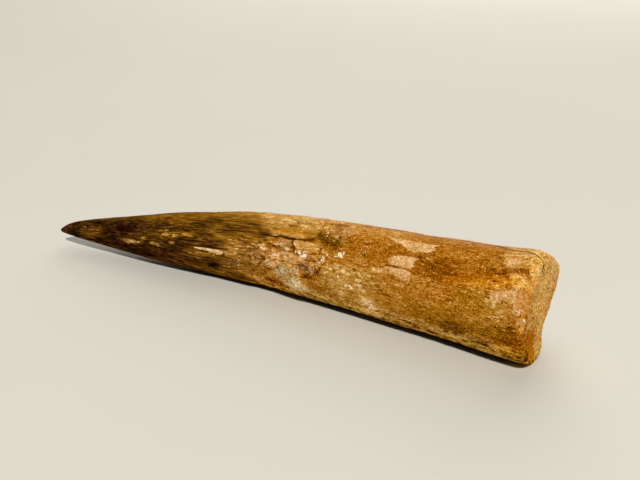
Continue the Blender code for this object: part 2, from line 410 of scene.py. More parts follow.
# How light the stain is in some places, on the scale of a screen's brightness, each laid over
# those before it.
LIGHT_MARKS = marks(
    # the tip
    (0.2, 1.2, (-1, -5), (4.6, -5), (4.4, 40), (5.2, 84), (2.6, 110), (3.8, 180), (-1, 180)),
    (0.125, 1.2, (4.4, -5), (7.5, -5), (8.4, 52), (8.5, 96), (7.5, 131), (5.4, 131), (5.2, 83),
     (4.5, 31)),
    (0.225, 1.2, (8.6, 52), (12.7, 56), (15, 63), (15.3, 85), (12.7, 107), (9.8, 116), (8.6, 96)),
    (13.4, 62, 1.6, 0.4, 0.28), (10.4, 66, 1.5, 0.3, 0.26), (12.6, 76, 1.9, 0.3, 0.26),
    (11, 92, 2, 0.4, 0.26),
    # the crown, above
    (0.125, 2, (8.8, 18), (20, 15), (22, 40), (19, 50), (10.4, 48)),
    (0.085, 1.6, (20.9, 34), (24.8, 35), (27.4, 44), (27.2, 54), (25.7, 64), (23.5, 73), (21.8, 62),
     (20.3, 48)),
    (0.3, 5, (30, 6), (44, 4), (60, 4), (62, 14), (50, 20), (34, 18)),
    (0.2, 3, (43, 24), (48, 23), (49, 34), (45, 38), (42, 32)),
    (39.5, 28, 3.5, 1.6, 0.32),
    (0.25, 3, (49, 24), (62, 22), (62, 34), (50, 36)),
    # the crown's front
    (0.285, 2, (30, 54), (38, 52), (45, 56), (45, 66), (36, 67), (30, 62)),
    (0.3, 1.2, (22.5, 85), (25, 81), (28.6, 82), (28, 88), (24, 92)),
    (0.11, 2, (20.5, 103), (28, 103), (32, 109), (36, 120), (28, 132), (20.5, 124)),
    (43, 66, 3, 0.5, 0.1), (47.2, 72.5, 1.8, 0.5, 0.11),
    (0.235, 2.5, (26, 68), (34, 66), (35, 84), (28, 86)),
    (0.155, 1.8, (36, 69), (45, 68), (52, 69), (54, 76), (46, 78), (36, 84)),
    (0.28, 2, (43, 79), (56, 78), (57, 90), (50, 92), (43, 90)),
    (0.26, 2.5, (44, 93), (58, 93), (60, 104), (56, 112), (46, 104)),
    (0.26, 2.5, (48, 106), (62, 106), (66, 126), (50, 126)),
    (0.13, 1.4, (48.6, 104), (52.4, 104), (52.2, 117), (49.4, 121)),
    (50.4, 113, 1.6, 0.3, 0.02, -20), (51.7, 109, 0.4, 0.5, 0.03),
    (0.345, 2.5, (50, 46), (58, 44), (63, 48), (63, 70), (57, 72), (52, 64)),
    (0.2, 2, (44, 58), (50, 60), (55, 64), (56, 75), (49, 76), (43, 70)),
    (57, 75, 4, 1.8, 0.44), (25.6, 85, 2.3, 0.45, 0.47), (33.2, 82, 0.9, 0.4, 0.56),
    (35, 84.5, 0.5, 0.5, 0.5), (30.2, 73.5, 0.9, 0.4, 0.46), (37, 60, 1, 0.4, 0.52),
    (39.8, 61, 0.8, 0.4, 0.48), (43.4, 56.5, 1.5, 0.4, 0.48), (39.4, 75, 0.9, 0.4, 0.4),
    (0.37, 3, (56, 92), (62, 90), (66, 98), (66, 112), (57, 112)),
    (0.6, 2, (59, 114), (62, 112), (70, 113), (70, 130), (62, 130)),
    (0.26, 2, (66, 114), (69.5, 112), (71.5, 117), (71, 122), (67, 120)),
    # the last of the enamel, and a painted shadow that its right end casts
    (0.56, 1.6, (64, -12), (64, 20), (65.6, 38), (70, 40), (76, 41), (79, 31), (78, 15), (79, -12)),
    (0.62, 3, (66, -14), (82, -14), (82, 8), (74, 10), (66, 5)),
    (68, 9, 1.8, 0.4, 0.76), (71.6, 21, 1.5, 0.4, 0.42), (74.4, 19, 1.4, 0.4, 0.72),
    (67.6, 30, 1.2, 0.4, 0.44), (70.6, 33.5, 1.5, 0.5, 0.66), (76.4, 30.5, 1.9, 1.1, 0.45),
    (0.49, 1.6, (68.5, 26), (72, 24), (75, 32), (74, 38), (69, 38)),
    (0.2, 2, (62.4, 36), (64.5, 34), (65.8, 41), (65.2, 49), (63.2, 49), (62.4, 43)),
    (0.32, 1.4, (64, 46), (66, 50), (69, 59), (67, 62), (64, 55)),
    # painted shadow of the flake's right end
    (0.29, 2.4, (76.6, 38), (78.6, 28), (82, 23), (85, 30), (85.6, 40), (83, 46), (80, 43)),
    (79.5, 48, 1.7, 1, 0.53),
    (0.46, 2, (79.5, 12), (84, 9), (86, 20), (85, 30), (80, 27)),
    (82.2, 2, 2.2, 0.9, 0.46),
    # where the enamel has come away
    (0.55, 0.8, (69, 45), (72.4, 44), (72.8, 60), (70.2, 61), (68.7, 55)),
    (0.61, 0.8, (73.3, 43), (77, 43.5), (80, 47), (80, 56), (77, 59), (74, 56), (73.2, 50)),
    (0.58, 1.6, (67, 68), (72, 63), (77, 66), (78, 74), (72, 82), (68, 92), (66, 86)),
    (0.38, 3, (60, 60), (66, 57), (67.5, 74), (66, 92), (60, 94), (58, 76)),
    (0.57, 1.2, (69, 88), (71.4, 81), (74.2, 85), (75.8, 98), (73, 106), (69.4, 99)),
    (0.88, 1.6, (73, 103), (75.8, 98), (77.8, 114), (77.6, 122), (73.4, 121), (71.4, 112)),
    (65.3, 63.5, 0.9, 0.7, 0.66), (76.7, 82.5, 1.3, 0.6, 0.36),
    (0.28, 1.4, (76, 92.6), (78, 91), (80, 94), (79, 98), (76.6, 97)),
    (0.32, 1.4, (79.2, 77), (81.3, 76), (81.3, 89), (79.6, 89)),
    (0.42, 2, (78, 92), (84, 94), (84, 112), (79, 110)),
    # the root's front
    (88, 88, 4.5, 3.6, 0.55),
    (0.44, 2.4, (86, 27), (92, 24), (97, 28), (98, 44), (92, 50), (87, 44)),
    (0.415, 4, (103, 30), (110, 27), (119, 32), (119, 44), (112, 62), (104, 56)),
    (109.5, 44, 3.5, 2.2, 0.33),
    (0.455, 4.5, (98, -8), (110, -4), (122, -8), (122, 22), (108, 24), (104, 14)),
    (0.445, 4, (112, 56), (121, 54), (122, 84), (112, 86)),
    (0.68, 1.8, (91, 98), (96, 100), (96.4, 136), (91.5, 136)),
    (0.41, 4, (103, 88), (118, 92), (128, 90), (128, 112), (112, 114), (103, 104)),
    (114.5, 107, 3.5, 1.6, 0.34),
    (0.6, 2, (99, 114), (106, 115), (105, 124), (99, 124)),
    (0.42, 2, (103, 125), (110, 125), (111, 136), (103, 136)),
    (0.46, 1, (121.5, 42), (124, 40), (127, 43), (127.5, 48), (124, 51), (121.5, 48)),
    (0.6, 3, (122, -14), (131, -14), (131, 28), (124, 30), (122, 12)),
    (0.51, 2, (115.7, 53), (119.6, 43), (126.1, 42), (127.7, 48), (121.9, 54), (116.3, 60)),
    (0.66, 1.2, (124.6, 38), (127.7, 36), (129.4, 44), (129.4, 54), (127.4, 50)),
    (0.54, 2.5, (122, 54), (131, 50), (131, 80), (124, 78)),
    (0.53, 1, (129.4, 52), (132.2, 50), (132.2, 92), (129.6, 92)),
    (0.36, 2, (124, 92), (132, 88), (134, 98), (133, 108), (124, 107)),
    (0.46, 3, (125, 112), (134, 106), (140, 118), (140, 180), (128, 180), (125, 130)),
    (0.4, 2, (129, 118), (133, 118), (134, 140), (130, 140)),
    # chips of cream
    (84.4, 74, 0.5, 0.3, 0.84), (87.6, 73, 0.6, 0.4, 0.88), (88.9, 75, 0.5, 0.3, 0.86),
    (91.6, 72, 0.4, 0.3, 0.8), (95.1, 63, 0.7, 0.4, 0.8), (88.6, 91, 0.5, 0.4, 0.9),
    (89.9, 93, 0.5, 0.3, 0.86), (91.9, 87, 0.5, 0.4, 0.84), (92.9, 93, 0.5, 0.4, 0.82),
    (93.2, 106, 0.6, 0.5, 0.9), (95.8, 124, 0.7, 0.5, 0.92),
    # streaks along the underside
    (50, 126, 5, 0.4, 0.44), (44, 134, 6, 0.4, 0.2), (57, 133, 5, 0.4, 0.26),
    (82, 122, 3, 0.4, 0.74), (86, 132, 4, 0.4, 0.46), (89, 123, 3, 0.4, 0.76),
    (100, 136, 5, 0.4, 0.5), (106, 128, 4, 0.5, 0.52), (112, 127, 3.5, 0.4, 0.86),
    (119.5, 122, 3, 0.4, 0.8), (124.5, 118, 3, 0.4, 0.7),
    (0.42, 1.2, (117.6, 120), (122.2, 114), (122.4, 124), (118, 134)),
    (104, 122, 3, 0.4, 0.46), (110, 134, 5, 0.4, 0.46), (93, 134, 4, 0.4, 0.5),
    (97, 127, 3, 0.4, 0.78), (79, 131, 4, 0.4, 0.5), (74, 128, 3, 0.4, 0.74),
    (117, 132, 4, 0.4, 0.5), (122, 128, 3.5, 0.4, 0.48),
    # the back
    (100, 270, 14, 8, 0.38), (84, 255, 7, 5, 0.52), (118, 300, 8, 5, 0.4), (74, 290, 6, 5, 0.56),
    (48, 275, 14, 4, 0.34), (30, 265, 9, 1.4, 0.4), (22, 310, 8, 3, 0.28), (60, 250, 6, 3, 0.18),
)

OLIVE_MARKS = marks(
    (57, 52, 6, 3, 0.5),
    (0.55, 2, (67, 20), (73, 18), (78, 27), (77.5, 35), (71, 37), (66, 33)),
    (76, 31, 1.8, 1.3, 0.9),
    (0.55, 4, (115, 58), (123, 58), (125, 72), (122, 88), (113, 86)),
    (0.7, 5, (101, 88), (112, 86), (126, 88), (126, 112), (110, 114), (100, 104)),
    (98, 112, 6, 2, 0.5),
    (0.5, 3, (80, 76), (86, 66), (94, 66), (98, 84), (94, 100), (82, 104)),
    (0.5, 4, (80, 108), (92, 106), (94, 124), (80, 130)),
    (0.55, 3, (76, 40), (78, 24), (83, 18), (86, 28), (86, 42), (82, 48)),
    (60, 100, 5, 3, 0.5),
    (0.85, 5, (76, 118), (131, 114), (131, 170), (76, 170)),
    (128.5, 62, 2.5, 2, 0.3), (108, 235, 12, 6, 0.6), (80, 255, 7, 5, 0.5),
)

PINK_MARKS = marks(
    (0.85, 0.8, (69, 45), (72.4, 44), (72.8, 60), (70.2, 61), (68.7, 55)),
    (0.5, 1.2, (68, 67), (72, 63), (76, 66), (77, 73), (72, 77), (68, 76)),
    (0.75, 0.8, (66, 90), (66.6, 82), (68.5, 78), (71, 79), (70, 86), (68.5, 93)),
    (0.8, 0.8, (74.5, 78), (77, 74), (80, 76), (80.5, 84), (78, 90), (74.6, 88)),
    (0.55, 3, (60, 60), (67, 58), (67, 76), (66, 94), (60, 94)),
    # partly a painted sheen: the top of the root is made paler and pinker
    (0.15, 6, (84, 10), (98, 6), (122, -10), (122, -24), (84, -24)),
    (0.7, 1.6, (92, 100), (96.5, 100), (97, 130), (92.5, 132)),
    (0.5, 2, (99, 115), (112, 117), (128, 115), (128, 122), (99, 123)),
    (0.5, 1.2, (91, 84), (94, 83), (95, 93), (92, 95)),
    (84, 18, 3, 3, 0.5), (93, 300, 8, 5, 0.5),
)

MAROON_MARKS = marks(
    (0.85, 1.4, (-1, -5), (3.8, -5), (4.4, 90), (3.4, 180), (-1, 180)),
    (0.75, 2, (20.5, 32), (25, 33), (28, 44), (27.6, 56), (26, 66), (23.5, 75), (21.2, 62),
     (19.8, 48)),
    (12, 66, 2, 0.6, 0.5), (50.5, 71, 3, 0.7, 0.4), (76.6, 82.5, 1.7, 1.1, 0.6),
    (59.5, 62, 1.2, 0.6, 0.5), (62.5, 70, 0.8, 0.5, 0.5), (60.4, 78, 0.7, 0.6, 0.5),
    (60, 85, 1.1, 0.5, 0.5), (57, 91, 0.7, 0.5, 0.5), (56, 97, 1.4, 0.4, 0.5),
    (33, 104, 12, 2, 0.35), (40, 250, 6, 3, 0.6),
)

GLINT_MARKS = marks(
    (0.9, 1.4, (21, 92), (24, 81), (30, 78), (33, 84), (28, 92), (23, 96)),
    (0.55, 1.6, (28, 68), (36, 66), (38, 82), (34, 90), (28, 86)),
    (0.75, 1.4, (33, 52), (40, 54), (50, 57), (49, 63), (40, 66), (34, 62)),
    (0.5, 1.6, (44, 78), (56, 76), (62, 70), (62, 88), (54, 92), (44, 92)),
    (1, 2, (54, 56), (66, 54), (68, 72), (66, 94), (54, 92)),
    (0.45, 1.4, (44, 94), (56, 94), (60, 104), (46, 104)),
    (0.45, 2, (54, 106), (70, 108), (70, 124), (54, 122)),
    (0.4, 1.2, (9, 52), (16, 50), (16, 60), (9, 60)),
    (0.7, 2, (79, -6), (86, -6), (86, 30), (79, 28)),
    (0.75, 3, (60, 58), (66, 50), (72, 44), (82, 50), (84, 70), (82, 92), (70, 96), (60, 96)),
    (0.45, 3, (120, 10), (131, 6), (131, 90), (120, 84)),
    (0.8, 3.4, (82, 66), (92, 62), (98, 80), (96, 104), (84, 106), (80, 88)),
    (0.8, 1.6, (92, 100), (96.5, 100), (97, 130), (92.5, 132)),
    (0.5, 2, (68, 96), (78, 94), (80, 122), (72, 124)),
    (0.3, 2, (100, 114), (118, 112), (129, 112), (129, 124), (102, 124)),
    (30, 265, 8, 2, 0.7), (78, 285, 8, 6, 0.5), (52, 300, 8, 3, 0.4),
)

# Orange and yellow stain, on the root and on the break.
STAIN_MARKS = marks(
    (1, 3.2, (130, 96), (133, 96), (135.6, 106), (137.2, 118), (137.2, 134), (135.4, 148),
     (133.4, 156), (131.4, 166), (130, 170)),
    (0.45, 2.5, (133, 92), (136, 90), (138, 100), (137, 112), (134, 108)),
    (0.5, 1, (129.6, 48), (131.8, 50), (132.4, 70), (132.2, 92), (130, 92), (130.2, 70)),
    (133.5, 84, 1.6, 0.8, 0.6),
    (1, 2, (111, 50), (117, 42), (126, 39), (128, 47), (122, 56), (112, 60)),
    (0.55, 1, (126.8, 40), (130, 40), (131, 96), (128.8, 96)),
    (1, 2, (123, 102), (130, 100), (131, 128), (125, 128)),
    (0.55, 4, (90, 92), (108, 84), (124, 90), (126, 110), (108, 114), (92, 108)),
    (0.7, 1.5, (66, 28), (72, 24), (77, 28), (78, 36), (70, 38)),
    (0.4, 3, (110, 70), (120, 66), (124, 84), (112, 88)),
)

PALE_MARKS = marks(
    ((97.6, 48), (98.4, 42), (100.2, 39.5), (103.6, 37), (104.6, 38.5), (103.7, 43), (104.1, 47),
     (103.4, 53), (98.2, 52.6)),
    ((97.4, 57), (100.5, 55.6), (103.6, 56), (103.9, 61), (103.8, 66.5), (101.6, 67), (100.2, 64.6),
     (98.6, 62), (98.4, 59)),
    ((95.5, 15.5), (101, 15.5), (105.5, 14), (108, 12.6), (106.5, 17), (107.3, 23), (106.5, 27.4),
     (104.2, 30), (102, 30.6), (100.3, 26), (97.6, 21.5)),
    ((95.5, 61.5), (96.6, 60), (97.4, 62), (96.4, 65.2), (95.3, 64.5)),
    ((122.9, 27), (123.4, 19), (125.1, 15), (127, 18), (126.4, 22), (124.6, 24), (124, 28)),
    ((121.6, 63), (123.8, 56), (127, 51.5), (129.2, 52.5), (129.8, 60), (129.8, 71), (128.4, 75.5),
     (127, 73), (127.2, 67), (125.8, 63.4), (124.6, 65), (124.4, 68), (122.6, 67)),
    ((128.2, 78), (129.8, 76), (130.6, 82), (129.8, 85.6), (128.2, 83)),
    ((106, 258), (111, 256), (113, 264), (110, 270), (106, 267)),
    ((116, 296), (120, 294), (121, 302), (118, 305)),
    ((96, 228), (100, 224), (103, 230), (99, 236)),
)

CREAM_MARKS = marks(
    ((45, 79.4), (47.6, 77.8), (50, 78.6), (52.8, 78), (54.2, 80.4), (53.8, 85.2), (52.2, 86.6),
     (50.4, 85), (49.2, 83), (47.2, 81.8)),
    ((25, 84.8), (26.4, 83.6), (27.6, 84), (27.4, 85.2), (25.8, 85.8)),
    ((34.2, 82.8), (34.6, 81.2), (35.1, 81.6), (34.9, 83.2)),
    ((67.4, 54.2), (68.8, 52.2), (69.4, 53.6), (68.6, 56.4)),
    ((27.5, 264), (31, 263), (32.5, 265.5), (29, 267)),
)

SAND_MARKS = marks(
    ((69, 93), (69.6, 86), (71.5, 81.6), (73.2, 83), (74.4, 87), (75.8, 100), (77.4, 112),
     (78, 121), (74.6, 122), (72, 115), (70.6, 107), (69.2, 99)),
    ((88, 222), (93, 218), (97, 226), (94, 234), (89, 232)),
)

STAINS = {
    Layer.OLIVE: OLIVE_MARKS,
    Layer.PINK: PINK_MARKS,
    Layer.MAROON: MAROON_MARKS,
    Layer.GLINT: GLINT_MARKS,
    Layer.STAIN: STAIN_MARKS,
}
PATCHES = {Layer.PALE: PALE_MARKS, Layer.CREAM: CREAM_MARKS, Layer.SAND: SAND_MARKS}

# Cracks, with their half width and depth in millimetres.
CRACKS = cracks(
    (0.19, 0.3, (65.4, 44), (66.6, 43), (68, 43.4), (68.8, 41.2), (69.8, 41.2), (71, 42.4)),
    (0.26, 0.34, (69.8, 41.3), (71.2, 42.6), (72.6, 42.4), (73.6, 43)),
    (0.12, 0.22, (73.4, 42.8), (74.8, 42.2), (76, 41.4), (77.2, 39.4), (78.2, 37.2), (78.6, 33),
     (78.8, 27)),
    (0.1, 0.1, (68.7, 54.6), (69.6, 57), (71, 59.4), (71, 63)),
    (0.13, 0.1, (51, 41.4), (53, 42.2), (56, 40.8)),
    (0.14, 0.1, (58.6, 42.6), (60.4, 41.4), (62.6, 42.2)),
    (0.09, 0.08, (69.4, 56), (70.2, 53), (70.8, 48)),
    (0.15, 0.16, (72.7, 44), (72.9, 51), (73.5, 57), (73.2, 62)),
    (0.1, 0.08, (70, 3), (71.2, 9), (72.8, 17)),
    (0.11, 0.08, (97.4, 54.9), (98.8, 54), (100.4, 54.6), (101.2, 54.2)),
    (0.2, 0.2, (48, 104), (49.6, 102.5), (51.6, 104), (51.8, 110), (50.4, 118)),
    (0.18, 0.18, (46.6, 76.6), (51, 77), (55.6, 75)),
    (0.14, 0.14, (66.2, 93), (66.6, 86), (68.6, 79)),
    (0.1, 0.12, (75.2, 79), (76.6, 78), (77.9, 79.6), (78.2, 82.6), (77.2, 85.2)),
    (0.16, 0.16, (79.6, 91), (80.4, 84), (81.6, 76)),
    (0.12, 0.08, (80, 4), (82, 2), (84, 3)),
    (0.2, 0.06, (119, -10), (121.2, -5), (123.2, -1), (126.4, 2), (129.3, 7), (130.6, 12),
     (131, 22)),
    (0.12, 0.12, (120.6, 107), (124, 105.6), (128, 106.4), (131, 105)),
    (0.22, 0.24, (60, 285), (68, 283), (76, 288), (83, 286)),
    (0.2, 0.18, (86, 190), (97, 194), (110, 191)),
)

# Flat pieces left standing, or sunk, where the enamel has come away: how far they stand out.
PLATES = marks(
    (0.1, 0.35, (69, 45), (72.4, 44), (72.7, 60), (70.4, 61), (68.7, 55)),
    (0.14, 0.4, (73.4, 43.5), (77, 43.5), (80, 47), (80.2, 56), (77, 59), (74, 56), (73.4, 50)),
    (0.16, 0.5, (68, 67), (71.6, 63.4), (76, 66), (76.6, 73), (72, 77), (68, 75)),
    (0.22, 0.5, (66, 90), (66.8, 82), (68.5, 78.6), (71, 79.4), (70, 86), (68.5, 93)),
    (0.12, 0.4, (66.2, 46), (68.4, 47), (69, 54), (67, 56), (65.8, 51)),
    (-0.12, 0.6, (75.6, 80.6), (77, 79.8), (77.6, 82), (77, 83.8), (75.8, 83.4)),
    (-0.18, 0.8, (76.4, 91.6), (78.6, 90.4), (79.2, 94.6), (77.2, 96.6)),
    (-0.16, 0.9, (62.6, 37), (64.2, 35.6), (65.4, 41), (65, 47.6), (63.4, 48), (62.6, 43)),
    (0.16, 0.45, (46, -30), (48, 16), (56, 30), (62, 38), (66.6, 42.6), (70, 40.6), (73.6, 41.6),
     (77.6, 37.6), (78.6, 27), (77.4, 14), (78, -30)),
    (-0.1, 0.7, (44, 77.4), (50, 77.2), (56, 75.2), (57, 80), (53.6, 87), (46, 86)),
    (0.12, 0.35, (45.8, 79.8), (47.6, 77.8), (50, 78.6), (52.6, 78.2), (53.6, 80), (53.4, 84.4),
     (50.4, 84.6), (47.4, 82)),
    (-0.2, 0.6, (70, 278), (78, 276), (80, 290), (72, 294)),
)

# Where the skin is broken into chunks, and where enamel has chipped off in flakes.
BROKEN_ZONES = marks(
    (1, 5, (62, 58), (66, 54), (70, 45), (78, 42), (84, 52), (86, 70), (83, 92), (76, 104),
     (68, 102), (61, 96), (59, 76)),
    (76.5, 82, 2.2, 1.6, 1), (65, 44, 2, 1.6, 0.5),
    (0.5, 3, (79, -10), (86, -10), (88, 30), (83, 44), (78, 40), (79, 20)),
    (0.35, 3, (45, 100), (56, 98), (64, 104), (64, 120), (46, 120)),
    (0.3, 3, (121, 50), (130, 48), (130, 78), (123, 76)),
    (73, 290, 8, 5, 0.7), (66, 215, 5, 4, 0.5),
)

CHIPPED_ZONES = marks(
    (32, 80, 12, 2.2, 0.9), (50, 84, 11, 3.4, 1), (42, 62, 10, 1.8, 0.9), (58, 58, 9, 4, 0.8),
    (51, 108, 5, 2.6, 0.9), (60, 102, 6, 4, 0.7), (50, 350, 8, 3, 0.7), (13, 80, 6, 2, 0.6),
    (34, 262, 14, 2.4, 0.9), (55, 300, 9, 3, 0.7),
)

# Where pale grains are stuck all over the root.
SPECKLED_ZONES = marks(
    (1, 3, (80, 44), (96, 42), (98, 70), (97, 112), (84, 112), (78, 90)),
    (0.5, 3, (56, 60), (68, 56), (70, 100), (58, 104)),
    (0.35, 4, (104, 50), (122, 56), (122, 84), (104, 80)),
    (0.6, 3, (118, 8), (130, 4), (130, 50), (118, 50)),
    (0.8, 3, (120, 50), (131, 50), (131, 90), (121, 90)),
    (0.8, 2, (70, 96), (80, 96), (80, 122), (70, 122)),
    (100, 270, 22, 9, 0.5),
)

# Along of the break's edge, at places around.
BREAK_EDGE = {
    0: 127, 20: 127.6, 45: 129.6, 60: 130.9, 75: 131.2, 90: 130.4, 110: 130.4, 124: 131.2,
    138: 133.5, 146: 132, 170: 131, 200: 130.4, 260: 130.6, 300: 129.6, 330: 127.8, FULL_TURN: 127,
}

# How light the stain usually is, at places around. The high values at about 320 to 345 paint a
# highlight along the top edge, the values near 0 from about 145 to 225 paint the shade beneath
# the tooth, and the root's raised values from about 118 to 137 make up for the shade on its lower
# front.
CROWN_LIGHT = {
    0: 0.4, 8: 0.35, 18: 0.3, 30: 0.23, 41: 0.2, 52: 0.19, 63: 0.22, 73: 0.2, 85: 0.2, 96: 0.165,
    107: 0.17, 118: 0.19, 129: 0.22, 138: 0.23, 144: 0.16, 150: 0.05, 157: 0.01, 168: 0.005,
    200: 0.005, 230: 0.12, 262: 0.24, 300: 0.28, 318: 0.4, 327: 0.58, 340: 0.58, 346: 0.34,
    354: 0.36, FULL_TURN: 0.4,
}

ROOT_LIGHT = {
    0: 0.555, 8: 0.545, 18: 0.505, 30: 0.43, 41: 0.415, 52: 0.455, 63: 0.495, 85: 0.51, 96: 0.495,
    107: 0.51, 118: 0.56, 124: 0.6, 130: 0.6, 137: 0.58, 143: 0.48, 149: 0.18, 155: 0.03,
    164: 0.005, 195: 0.005, 225: 0.2, 255: 0.42, 290: 0.48, 316: 0.58, 327: 0.8, 340: 0.82,
    344: 0.5, 350: 0.44, 355: 0.52, FULL_TURN: 0.555,
}

# How far the skin turns down to the floor, where the colour is deepened as painted shade.
UNDERSIDE = {
    0: 0, 108: 0, 124: 0.75, 134: 1, 200: 1, 240: 0, FULL_TURN: 0,
}

# How far the skin is worn smooth, at places around.
GLOSS = {
    0: 0.1, 10: 0, 290: 0, 318: 0.7, 330: 1, 340: 1, 348: 0.2, FULL_TURN: 0.1,
}

# How much lighter than usual the crown is, at places along.
BRIGHTENING = {
    0: 0.8, 6: 0.7, 12: 0.74, 20: 0.68, 26: 0.76, 32: 0.9, 40: 0.95, 48: 1.2, 56: 1.42, 62: 1.7,
    68: 2.1, 78: 2.3,
}


@dataclass
class Skin:
    """The dense skin's grid, cast onto the solid from a line through its middle."""

    solid: bpy.types.Object
    columns: int = 256
    length: float = 130.0
    tip_reach: float = 0.3  # how far the solid's tip stands out past an along of 0
    tip_zone: float = 1.5  # length of the tip whose middle starts the middle line
    depth_share: float = 0.93  # front to back, as a share of the height
    tip_hub: float = 1.3  # along of the place from which the tip is cast
    end_hub: float = 122.0
    tip_rows: int = 7
    tip_steepness: float = 84.0  # degrees at which the first row is cast
    spaced_rows: Outline = ((44.0, 0.52), (122.0, 0.36))  # where a stretch ends, and its spacing
    end_side_rows: int = 18
    end_rows: int = 50
    end_hole: float = 0.15  # radius left for the end's pole, in millimetres
    first_station: float = 0.6
    station_gap: float = 2.0
    station_turn: float = 7.5  # degrees between the rays that find the middle
    last_full: float = 128.0  # from here on the middle and half height stay as they are
    break_start: float = 127.0
    break_fade: float = 6.0
    least_half: float = 0.6
    front: float = 65.0  # the columns lie closest together about here, in degrees
    crowding: float = 0.3
    rows_blur: float = 1.7
    columns_blur: float = 2.6
    wander: Pair = (2.2, 1.0)  # how far soft marks stray along and around
    wander_grains: tuple[Grain, Grain] = (Grain(3, 4.5, 4, 0.6), Grain(4, 3.5, 4, 0.6))

    def __post_init__(self) -> None:
        """Casts the grid and works out where each of its points lies."""
        mesh = self.solid.data
        corners = [vertex.co / MM for vertex in mesh.vertices]
        mesh.calc_loop_triangles()
        faces = [tuple(face.vertices) for face in mesh.loop_triangles]
        self.tree = BVHTree.FromPolygons(corners, faces)
        self.low, self.high = (np.array(corner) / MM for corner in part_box(self.solid.name))
        self._find_middle(np.array(corners))
        self._cast()
        self._place()

    def x_of(self, along: float) -> float:
        """Place on the X axis of a place along, in millimetres."""
        return float(self.low[0]) + self.tip_reach + along

    def middle_at(self, along: float | Array) -> Array:
        """The middle's Y and Z and the half height at a place along, or at each of several."""
        return np.stack([np.interp(along, self.stations, row) for row in self.middle])

    def half_at(self, along: float) -> float:
        """Half the height at a place along, in millimetres."""
        return float(self.middle_at(min(along, self.last_full))[2])

    def _hit(self, along: float, middle: Array, heading: tuple[float, float, float]) -> Vector:
        """Where a ray from inside the solid leaves it.

        Args:
            along: Where the ray starts, along the tooth.
            middle: The start's Y and Z.
            heading: Where it goes.

        Returns:
            The place on the solid, in millimetres.
        """
        found = self.tree.ray_cast(Vector((self.x_of(along), *middle)), Vector(heading))[0]
        if found is None:
            raise RuntimeError(f"no skin from {along} towards {heading}")
        return found

    def _find_middle(self, corners: Array) -> None:
        """Finds the line through the middle of the solid, and its half height at each station.

        Args:
            corners: The solid's vertices, in millimetres.
        """
        middle = corners[corners[:, 0] < self.low[0] + self.tip_zone].mean(axis=0)
        self.stations = np.arange(self.first_station, self.end_hub + 2.0, self.station_gap)
        turns = np.radians(np.arange(0.0, FULL_TURN, self.station_turn))
        headings = [(0.0, -math.sin(turn), math.cos(turn)) for turn in turns]
        found = []
        for along in self.stations:
            for _ in range(3):
                rim = np.array([self._hit(along, middle[1:], heading) for heading in headings])
                middle = (rim.min(axis=0) + rim.max(axis=0)) / 2.0
            found.append((middle[1], middle[2], (rim[:, 2].max() - rim[:, 2].min()) / 2.0))
        self.middle = []
        for column in np.array(found).T:
            start = 2.0 * column[0] - column[6:0:-1]
            end = 2.0 * column[-1] - column[-2:-8:-1]
            longer = np.concatenate([start, column, end])
            self.middle.append(np.convolve(longer, bell(6, 2.0), "valid"))

    def _rows(self) -> list[Pair]:
        """Lists every row.

        Returns:
            The along of each row's hub, and how steeply it is cast: -90 the tip, 90 the end.
        """
        steepest, place = self.tip_steepness, self.tip_hub
        steps = range(self.tip_rows)
        rows = [(place, steepest * step / self.tip_rows - steepest) for step in steps]
        for end, gap in self.spaced_rows:
            count = round((end - place) / gap)
            rows += [(place + (end - place) * step / count, 0.0) for step in range(count)]
            place = end
        half = self.half_at(self.end_hub)
        length = self.length - self.end_hub
        for step in range(self.end_side_rows):
            run = length * step / self.end_side_rows
            rows.append((self.end_hub, math.degrees(math.atan2(run, half))))
        for step in range(self.end_rows):
            drop = half * (1.0 - step / self.end_rows) + self.end_hole
            rows.append((self.end_hub, math.degrees(math.atan2(length, drop))))
        return rows

    def _cast(self) -> None:
        """Casts every row, and smooths the solid's facets away."""
        turned = FULL_TURN * np.arange(self.columns) / self.columns
        lean = np.radians(turned - self.front)
        self.cast_around = turned - math.degrees(self.crowding) * np.sin(lean)
        turns = np.radians(self.cast_around)
        rows = self._rows()
        points = np.empty((len(rows), self.columns, 3))
        for row, (along, steep) in enumerate(rows):
            middle = self.middle_at(along)[:2]
            forward, out = math.sin(math.radians(steep)), math.cos(math.radians(steep))
            for column, turn in enumerate(turns):
                y, z = -self.depth_share * math.sin(turn), math.cos(turn)
                points[row, column] = self._hit(along, middle, (forward, out * y, out * z))
        self.points = blurred(points, self.rows_blur, self.columns_blur)
        self.hub_rows = len(rows) - self.end_side_rows - self.end_rows

    def _place(self) -> None:
        """Works out along, around and half height at every point, running on over the break."""
        x = self.points[..., 0] - self.x_of(0.0)
        steps = np.linalg.norm(np.diff(self.points[self.hub_rows :], axis=0), axis=-1)
        self.along = x.copy()
        self.along[self.hub_rows + 1 :] = x[self.hub_rows] + np.cumsum(steps, axis=0)
        self.around = np.broadcast_to(self.cast_around % FULL_TURN, x.shape)
        half = self.middle_at(np.minimum(x, self.last_full))[2]
        self.half_height = np.maximum(half, self.least_half)
        turns = np.radians(self.around)
        y, z = -self.half_height * np.sin(turns), self.half_height * np.cos(turns)
        side = np.stack([self.points[..., 0], y, z], axis=-1)
        on_break = eased((self.along - self.break_start) / self.break_fade)[..., None]
        middle = np.array([0.0, *self.middle_at(self.last_full)[:2]])
        self.place = side * (1.0 - on_break) + (self.points - middle) * on_break
        strays = zip(self.wander, self.wander_grains)
        self.drift = [far * grain.over(self.place) for far, grain in strays]

    @cached_property
    def outward(self) -> Array:
        """Normals of the raised skin, for what is stuck on it."""
        return self.normals()

